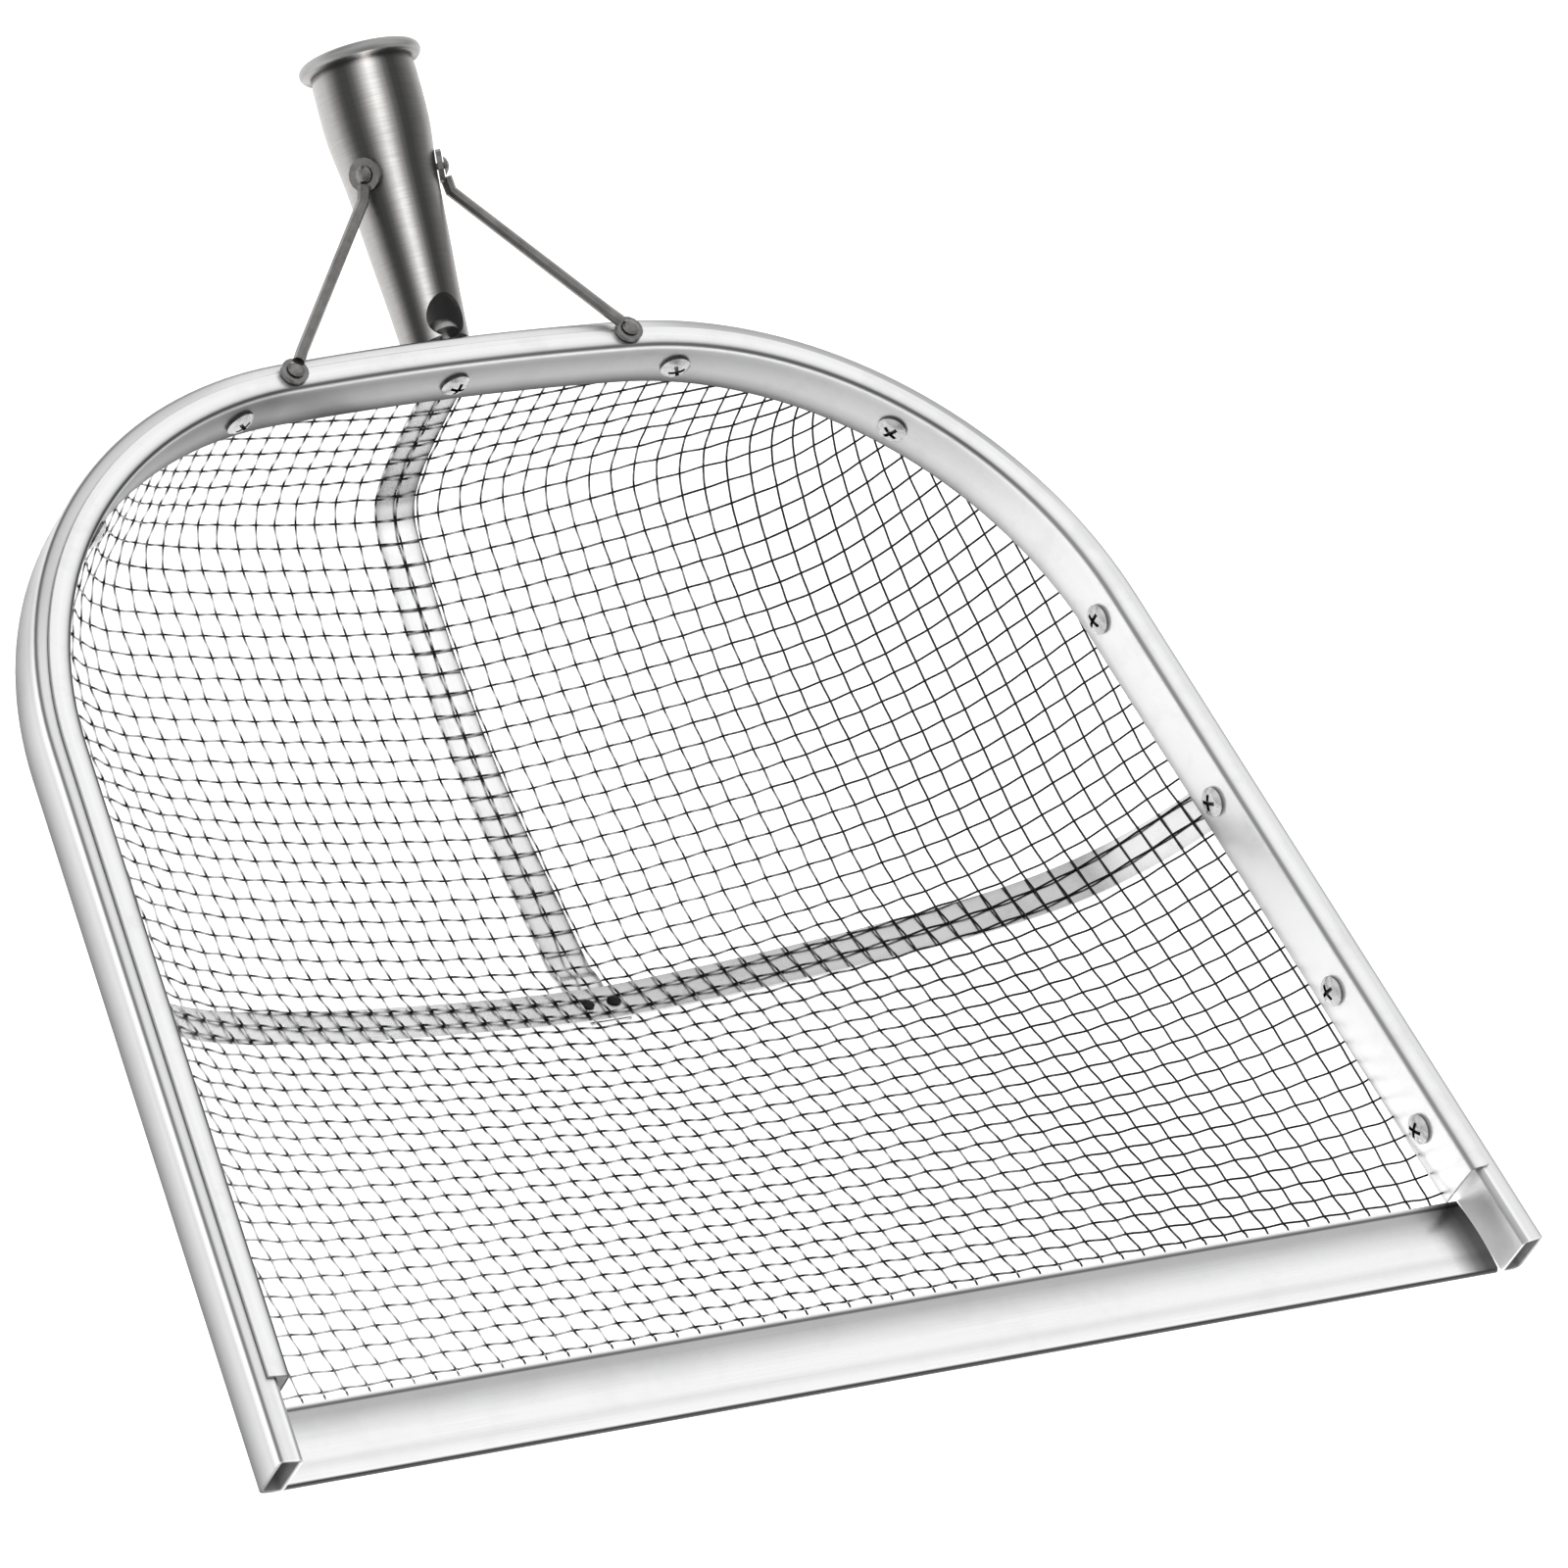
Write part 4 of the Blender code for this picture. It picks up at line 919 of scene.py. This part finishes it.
def profile_between(stations, steps=5):
    """Smooth (height, radius) points through the stations."""
    padded = [stations[0]] + list(stations) + [stations[-1]]
    points = []
    for k in range(len(stations) - 1):
        corners = [np.array(p) for p in padded[k:k + 4]]
        points += [spline(*corners, i / steps) for i in range(steps)]
    return [(float(r), float(z)) for z, r in points] + [(stations[-1][1], stations[-1][0])]


def cut(obj, tool):
    """Subtract a tool and remove it."""
    change = obj.modifiers.new("cut", "BOOLEAN")
    change.operation = "DIFFERENCE"
    change.solver = "EXACT"
    change.object = tool
    result = bpy.data.meshes.new_from_object(obj.evaluated_get(bpy.context.evaluated_depsgraph_get()))
    obj.modifiers.clear()
    obj.data = result
    bpy.data.objects.remove(tool)


def socket(material):
    """Tapered socket with a rolled rim, a closed foot and an arched notch."""
    place = socket_frame()
    top, mouth = SOCKET_PROFILE[-1]
    foot = SOCKET_PROFILE[0][1]
    below = -0.006
    above = 0.12
    bead = []
    for i in range(RIM_STEPS + 1):
        a = math.pi / 2 - RIM_TURN * i / RIM_STEPS
        bead.append((mouth + RIM_STAND + RIM_RADIUS * math.cos(a), top + RIM_RADIUS * (1 + math.sin(a))))
    side = profile_between(SOCKET_PROFILE)[::-1]
    outer = [(0.0, top + 2 * RIM_RADIUS)] + bead + side[1:] + [(foot, below), (0.0, below)]
    body = temporary("socket_blank", *lathe(outer, SOCKET_SIDES))
    body.matrix_world = place
    cavity = [(0.0, above), (mouth - SOCKET_WALL, above)]
    cavity += [(r - SOCKET_WALL, z) for r, z in side] + [(foot - SOCKET_WALL, below), (0.0, below)]
    bore = temporary("bore", *lathe(cavity, SOCKET_SIDES))
    bore.matrix_world = place
    back = BACK_Y + GAP + SHIFT.y
    room = 0.03
    bpy.context.view_layer.update()
    low = (-room, back - 0.02, 0.0)
    cut(bore, temporary("stop", *block(low, (room, back + SOCKET_CLOSED_FOOT, 0.1))))
    cut(body, temporary("trim", *block(low, (room, back, 0.1))))
    cut(body, bore)
    arch = [(0.0, room), (NOTCH_RADIUS, room), (NOTCH_RADIUS, 0.0), (0.0, 0.0)]
    notch = temporary("notch", *lathe(arch, SOCKET_SIDES // 2))
    notch.location = Vector((0.0, BACK_Y + NOTCH_Y, NOTCH_Z)) + SHIFT
    bpy.context.view_layer.update()
    cut(body, notch)
    mesh = body.data
    bpy.data.objects.remove(body)
    mesh.transform(place)
    finish(mesh, material, 35.0)
    stand_for("handle_socket", "handle_ferrule", mesh)


# Fasteners

def crown_radius(radius, height):
    """Radius of the sphere under a domed head."""
    return (radius ** 2 + height ** 2) / (2 * height)


def head(radius, height, rim, shank, length):
    """Points and faces of a domed head on a shank."""
    rise = height - rim
    sphere = crown_radius(radius, rise)
    half = math.asin(min(radius / sphere, 1.0))
    angles = [half * i / 8 for i in range(9)]
    crown = [(sphere * math.sin(a), height - sphere * (1 - math.cos(a))) for a in angles]
    profile = crown + [(radius, 0.0), (shank, 0.0), (shank, -length), (0.0, -length)]
    return lathe(profile, HEAD_SIDES)


def fastener(name, mesh, matrix, replaced):
    """A copy of a fastener's mesh, placed, standing for its CAD node."""
    own = mesh.copy()
    own.transform(matrix)
    stand_for(replaced, name, own)


def screw_mesh(material):
    """A pan head with a cross recess; the recess faces carry painted shade, and the head's rim a painted
    darker edge.
    """
    blank = temporary("screw_blank", *head(SCREW_HEAD_RADIUS, SCREW_HEAD_HEIGHT, SCREW_HEAD_RIM,
                                           SCREW_SHANK_RADIUS, SCREW_LENGTH))
    for long_x, long_y in ((RECESS_SIZE, RECESS_ARM), (RECESS_ARM, RECESS_SIZE)):
        low = (-long_x / 2, -long_y / 2, SCREW_HEAD_HEIGHT - RECESS_DEPTH)
        high = (long_x / 2, long_y / 2, SCREW_HEAD_HEIGHT * 2)
        cut(blank, temporary("recess", *block(low, high)))
    mesh = blank.data
    bpy.data.objects.remove(blank)
    sphere = crown_radius(SCREW_HEAD_RADIUS, SCREW_HEAD_HEIGHT - SCREW_HEAD_RIM)
    flank = SCREW_HEAD_RADIUS * 0.8
    tones = []
    for face in mesh.polygons:
        middle = face.center
        reach = math.hypot(middle.x, middle.y)
        surface = SCREW_HEAD_HEIGHT - sphere + math.sqrt(max(sphere ** 2 - reach ** 2, 0.0))
        inside = reach < flank and 0.0 < middle.z < surface - 0.0001
        edge = abs(face.normal.z) < 0.6 and reach > flank
        tone = RECESS_TONE if inside else HEAD_RIM_TONE if edge else HEAD_TONE
        tones.append(tone ** DISPLAY_POWER)
    mesh.attributes.new("tone", "FLOAT", "FACE").data.foreach_set("value", tones)
    finish(mesh, material, 30.0)
    return mesh


def screws(material):
    """The screws, round the strip."""
    mesh = screw_mesh(material)
    stations = [(-1, s) for s in reversed(SCREW_STATIONS[1:])] + [(1, s) for s in SCREW_STATIONS]
    for number, (side, station) in enumerate(stations, 1):
        point, normal = plan_station(STRIP_FACE + GAP, station)
        axis = Vector((-normal[0] * side, -normal[1], 0.0))
        place = Matrix.Translation(Vector((point[0] * side, point[1], -TUBE_HEIGHT / 2)) + SHIFT)
        turn = axis.to_track_quat("Z", "Y").to_matrix().to_4x4()
        spin = Matrix.Rotation(RECESS_TURN * number, 4, "Z")
        fastener(f"pan_screw_{number:02d}", mesh, place @ turn @ spin, f"clamp_screw_{number:02d}")


def foot_bolt(material):
    """The domed bolt seen in the notch of the socket."""
    mesh = closed_mesh("bolt_blank", *head(BOLT_HEAD_RADIUS, BOLT_HEAD_HEIGHT, BOLT_HEAD_RIM,
                                           BOLT_SHANK_RADIUS, BOLT_LENGTH))
    finish(mesh, material, 40.0)
    place = Matrix.Translation(Vector((0.0, BACK_Y + BOLT_Y, BOLT_Z)) + SHIFT)
    fastener("domed_bolt", mesh, place @ Matrix.Rotation(-math.pi / 2, 4, "X"), "foot_bolt")


# Materials

def principled(name, metallic):
    """A new node material and its shader."""
    mat = bpy.data.materials.new(name)
    mat.use_nodes = True
    shader = mat.node_tree.nodes["Principled BSDF"]
    shader.inputs["Metallic"].default_value = metallic
    return mat, shader


def glowing(shader, strength):
    """White light added to a surface."""
    shader.inputs["Emission Color"].default_value = (1.0, 1.0, 1.0, 1.0)
    shader.inputs["Emission Strength"].default_value = strength


def link(mat, output, target):
    """Join two sockets."""
    mat.node_tree.links.new(output, target)


def node(mat, kind, **inputs):
    """A new node with its inputs set by name."""
    made = mat.node_tree.nodes.new(kind)
    for key, value in inputs.items():
        made.inputs[key].default_value = value
    return made


def maths(mat, operation, *values):
    """A sum on plain numbers and sockets."""
    made = node(mat, "ShaderNodeMath")
    made.operation = operation
    for target, value in zip(made.inputs, values):
        if isinstance(value, float):
            target.default_value = value
        else:
            link(mat, value, target)
    return made.outputs["Value"]


def attribute(mat, name, output="Fac"):
    """A value stored on the mesh."""
    made = node(mat, "ShaderNodeAttribute")
    made.attribute_name = name
    return made.outputs[output]


def noise(mat, place, stretch, scale=1.0, detail=4.0, roughness=0.6):
    """Noise at a place, stretched along the axes given."""
    mapping = node(mat, "ShaderNodeMapping", Scale=stretch)
    made = node(mat, "ShaderNodeTexNoise", Scale=scale, Detail=detail, Roughness=roughness)
    link(mat, place, mapping.inputs["Vector"])
    link(mat, mapping.outputs["Vector"], made.inputs["Vector"])
    return made.outputs["Fac"]


def even_noise(mat, scale, detail=4.0, roughness=0.6):
    """Noise in object coordinates, alike in all directions."""
    coords = node(mat, "ShaderNodeTexCoord")
    return noise(mat, coords.outputs["Object"], (1.0, 1.0, 1.0), scale, detail, roughness)


def ramp(mat, factor, low, high, start=0.3, end=0.7):
    """Map a factor to a value between low and high."""
    made = node(mat, "ShaderNodeMapRange")
    for key, value in (("From Min", start), ("From Max", end), ("To Min", low), ("To Max", high)):
        made.inputs[key].default_value = value
    link(mat, factor, made.inputs["Value"])
    return made.outputs["Result"]


def mix_greys(mat, factor, low, high, start=0.3, end=0.7):
    """Map a factor to a colour between two."""
    made = node(mat, "ShaderNodeValToRGB")
    for element, position, colour in zip(made.color_ramp.elements, (start, end), (low, high)):
        element.position = position
        element.color = (*colour, 1.0)
    link(mat, factor, made.inputs["Fac"])
    return made.outputs["Color"]


def times(mat, colour, value):
    """A colour, plain or from a socket, times a value."""
    made = node(mat, "ShaderNodeVectorMath")
    made.operation = "SCALE"
    if isinstance(colour, tuple):
        made.inputs[0].default_value = colour
    else:
        link(mat, colour, made.inputs[0])
    link(mat, value, made.inputs["Scale"])
    return made.outputs["Vector"]


def bump(mat, shader, height, strength, distance):
    """Small relief from a height."""
    made = node(mat, "ShaderNodeBump", Strength=strength, Distance=distance)
    link(mat, height, made.inputs["Height"])
    link(mat, made.outputs["Normal"], shader.inputs["Normal"])


def metal(name, low, high, rough_low, rough_high, scale, metallic=1.0):
    """Metal whose colour, roughness and relief follow a grain, broad clouds and fine specks."""
    mat, shader = principled(name, metallic)
    grain = even_noise(mat, scale)
    specks = even_noise(mat, 700.0, detail=2.0)
    cloud = even_noise(mat, 45.0, detail=3.0)
    blend = maths(mat, "MULTIPLY_ADD", grain, 0.6, maths(mat, "MULTIPLY", cloud, 0.4))
    link(mat, mix_greys(mat, blend, low, high), shader.inputs["Base Color"])
    link(mat, ramp(mat, grain, rough_low, rough_high), shader.inputs["Roughness"])
    bump(mat, shader, specks, 0.15, 0.00004)
    return mat


def sheet_metal(name, colour, rough_low, rough_high, smudge):
    """Swept metal: painted light and shade from the tone of its section, a painted glow from its lift,
    drawn lines along its length, faint smudges.
    """
    mat, shader = principled(name, 1.0)
    glowing(shader, 0.0)
    lines = noise(mat, attribute(mat, "lay", "Vector"), (14.0, 5200.0, 1.0))
    clouds = even_noise(mat, 75.0, detail=6.0, roughness=0.7)
    shade = maths(mat, "MULTIPLY", ramp(mat, lines, 0.94, 1.024),
                  ramp(mat, clouds, 1.0 - smudge, 1.0, 0.38, 0.50))
    tone = maths(mat, "MULTIPLY", shade, attribute(mat, "tone"))
    link(mat, times(mat, colour, tone), shader.inputs["Base Color"])
    link(mat, attribute(mat, "lift"), shader.inputs["Emission Strength"])
    link(mat, ramp(mat, clouds, rough_low, rough_high), shader.inputs["Roughness"])
    bump(mat, shader, lines, 0.12, 0.00002)
    return mat


def wire_metal(name, clear, crossing):
    """Drawn wire: paler between the crossings, painted shade at them."""
    mat, shader = principled(name, 1.0)
    speck = even_noise(mat, 260.0)
    varied = maths(mat, "MULTIPLY_ADD", speck, 0.7, attribute(mat, "knot"))
    link(mat, mix_greys(mat, varied, clear, crossing, 0.45, 1.05), shader.inputs["Base Color"])
    link(mat, ramp(mat, speck, 0.30, 0.50), shader.inputs["Roughness"])
    return mat


def painted_reflection_colours(mat, turn):
    """Colours of the broad painted reflections, by the share of a turn."""
    streaks = node(mat, "ShaderNodeValToRGB")
    points = streaks.color_ramp.elements
    points[0].position, points[1].position = PAINTED_REFLECTIONS[0][0], PAINTED_REFLECTIONS[-1][0]
    for position, _ in PAINTED_REFLECTIONS[1:-1]:
        points.new(position)
    for element, (_, grey) in zip(points, PAINTED_REFLECTIONS):
        level = (grey / 255) ** DISPLAY_POWER
        element.color = (level, level * 0.975, level * 0.955, 1.0)
    link(mat, turn, streaks.inputs["Fac"])
    return streaks.outputs["Color"]


def socket_metal(name):
    """Turned steel with broad painted reflections as streaks along the socket, a faint painted glow, and
    fine lines around it.
    """
    mat, shader = principled(name, 1.0)
    glowing(shader, HOLLOW_GLOW)
    place = socket_frame()
    coords = node(mat, "ShaderNodeTexCoord")
    mapping = node(mat, "ShaderNodeMapping", Location=place.translation, Rotation=place.to_euler())
    mapping.vector_type = "TEXTURE"
    link(mat, coords.outputs["Object"], mapping.inputs["Vector"])
    split = node(mat, "ShaderNodeSeparateXYZ")
    link(mat, mapping.outputs["Vector"], split.inputs["Vector"])
    angle = maths(mat, "ARCTAN2", split.outputs["Y"], split.outputs["X"])
    turn = ramp(mat, angle, 0.0, 1.0, -math.pi, math.pi)
    around = node(mat, "ShaderNodeCombineXYZ")
    link(mat, turn, around.inputs["X"])
    link(mat, split.outputs["Z"], around.inputs["Z"])
    rings = noise(mat, around.outputs["Vector"], (9.0, 1.0, 1500.0), detail=3.0, roughness=0.5)
    blend = node(mat, "ShaderNodeMix")
    blend.data_type = "RGBA"
    link(mat, ramp(mat, split.outputs["Z"], 0.0, 1.0, BEAD_START, BEAD_START + BEAD_BLEND),
         blend.inputs[0])
    link(mat, painted_reflection_colours(mat, turn), blend.inputs[6])
    blend.inputs[7].default_value = BEAD_COLOUR
    link(mat, times(mat, blend.outputs[2], ramp(mat, rings, 0.86, 1.10)),
         shader.inputs["Base Color"])
    link(mat, ramp(mat, rings, 0.34, 0.46), shader.inputs["Roughness"])
    bump(mat, shader, rings, 0.10, 0.00002)
    return mat


def screw_metal(name):
    """Zinc heads, with painted shade in the recess and at the rim."""
    mat, shader = principled(name, 1.0)
    speck = even_noise(mat, 900.0)
    value = maths(mat, "MULTIPLY", attribute(mat, "tone"), ramp(mat, speck, 0.93, 1.0))
    link(mat, times(mat, (1.0, 1.0, 1.0), value), shader.inputs["Base Color"])
    link(mat, ramp(mat, speck, 0.22, 0.34), shader.inputs["Roughness"])
    return mat


def floor_paper(name):
    """Pale matt paper, lit a little from within."""
    mat, shader = principled(name, 0.0)
    glowing(shader, FLOOR_GLOW)
    shader.inputs["Roughness"].default_value = 0.9
    shader.inputs["Specular IOR Level"].default_value = 0.1
    fibre = even_noise(mat, 300.0)
    link(mat, mix_greys(mat, fibre, (0.70, 0.70, 0.70), (0.74, 0.74, 0.74)),
         shader.inputs["Base Color"])
    return mat


# Studio

def floor(material):
    """The pale floor under the object."""
    half = FLOOR_SIZE / 2
    mesh = bpy.data.meshes.new("studio_floor")
    mesh.from_pydata([(-half, -half, 0), (half, -half, 0), (half, half, 0), (-half, half, 0)], [],
                     [(0, 1, 2, 3)])
    mesh.materials.append(material)
    plane = linked("studio_floor", mesh)
    plane.location.z = -FLOOR_DROP


def sky():
    """Pale surroundings with soft bright patches."""
    world = bpy.data.worlds.new("studio")
    world.use_nodes = True
    coords = node(world, "ShaderNodeTexCoord")
    total = SKY_BASE
    for axis, near, far, level in SKY_LOBES:
        facing = node(world, "ShaderNodeVectorMath")
        facing.operation = "DOT_PRODUCT"
        facing.inputs[1].default_value = Vector(axis).normalized()
        link(world, coords.outputs["Generated"], facing.inputs[0])
        glow = ramp(world, facing.outputs["Value"], 0.0, level,
                    math.cos(math.radians(far)), math.cos(math.radians(near)))
        glow.node.interpolation_type = "SMOOTHSTEP"
        total = maths(world, "ADD", total, glow)
    background = world.node_tree.nodes["Background"]
    link(world, total, background.inputs["Strength"])
    background.inputs["Color"].default_value = (1.0, 1.0, 1.0, 1.0)
    bpy.context.scene.world = world
    bpy.context.scene.view_settings.view_transform = "Standard"


def lamp():
    """A large soft lamp overhead, which the metal doesn't mirror."""
    data = bpy.data.lights.new("key", "AREA")
    data.size = LAMP_SIZE
    data.energy = LAMP_POWER
    key = linked("key", data)
    key.location = LAMP_PLACE
    key.rotation_euler = (-Vector(LAMP_PLACE)).to_track_quat("-Z", "Y").to_euler()
    key.visible_glossy = False


def camera():
    """A long lens, high to the left of the mouths."""
    data = bpy.data.cameras.new("camera")
    data.lens = CAMERA_LENS
    data.sensor_width = 36.0
    data.clip_start = 0.1
    data.clip_end = 50.0
    eye = linked("camera", data)
    eye.location = CAMERA_PLACE
    eye.rotation_euler = [math.radians(angle) for angle in CAMERA_TURN]
    bpy.context.scene.camera = eye


def paint(material, *names):
    """Give CAD nodes a material."""
    for name in names:
        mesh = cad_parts[name].data
        mesh.materials.clear()
        mesh.materials.append(material)


ALUMINIUM = sheet_metal("tube_aluminium", (0.94, 0.94, 0.945), 0.32, 0.42, smudge=0.03)
STRIP = sheet_metal("strip_aluminium", (0.97, 0.97, 0.975), 0.28, 0.36, smudge=0.06)
BLADE = sheet_metal("blade_aluminium", (0.95, 0.95, 0.955), 0.20, 0.30, smudge=0.03)
BAND = sheet_metal("galvanised_band", (0.98, 0.98, 0.985), 0.22, 0.34, smudge=0.10)
# The bore is a dark matt grey: painted shade inside the tube
TUBE_BORE = metal("tube_bore", (0.20, 0.20, 0.20), (0.34, 0.34, 0.34), 0.50, 0.65, 180.0,
                  metallic=0.0)
# The cross wires are painted darker than the long wires: painted shade from the weave
LONG_WIRE = wire_metal("long_wire", (0.80, 0.80, 0.80), (0.03, 0.03, 0.03))
CROSS_WIRE = wire_metal("cross_wire", (0.62, 0.62, 0.62), (0.02, 0.02, 0.02))
SOCKET = socket_metal("socket_steel")
ROD = metal("rod_steel", (0.11, 0.107, 0.104), (0.27, 0.266, 0.262), 0.26, 0.40, 220.0)
BLACK_RIVET = metal("black_rivet", (0.01, 0.01, 0.01), (0.035, 0.035, 0.035), 0.35, 0.50, 300.0)
BOLT = metal("bolt_steel", (0.26, 0.26, 0.26), (0.44, 0.44, 0.44), 0.36, 0.50, 300.0)
SCREW = screw_metal("screw_zinc")
PAPER = floor_paper("floor_paper")

wires(LONG_WIRE, CROSS_WIRE)
frame_tube(ALUMINIUM, TUBE_BORE)
clamp_strip(STRIP)
blade(BLADE)
cross_strap(BAND)
long_strap(BAND)
socket(SOCKET)
screws(SCREW)
foot_bolt(BOLT)
paint(ROD, "brace_left", "brace_right", "foot_rivet_left", "foot_rivet_right", "top_rivet_left",
      "top_rivet_right")
paint(BLACK_RIVET, "strap_rivet_left", "strap_rivet_right")
floor(PAPER)
sky()
lamp()
camera()
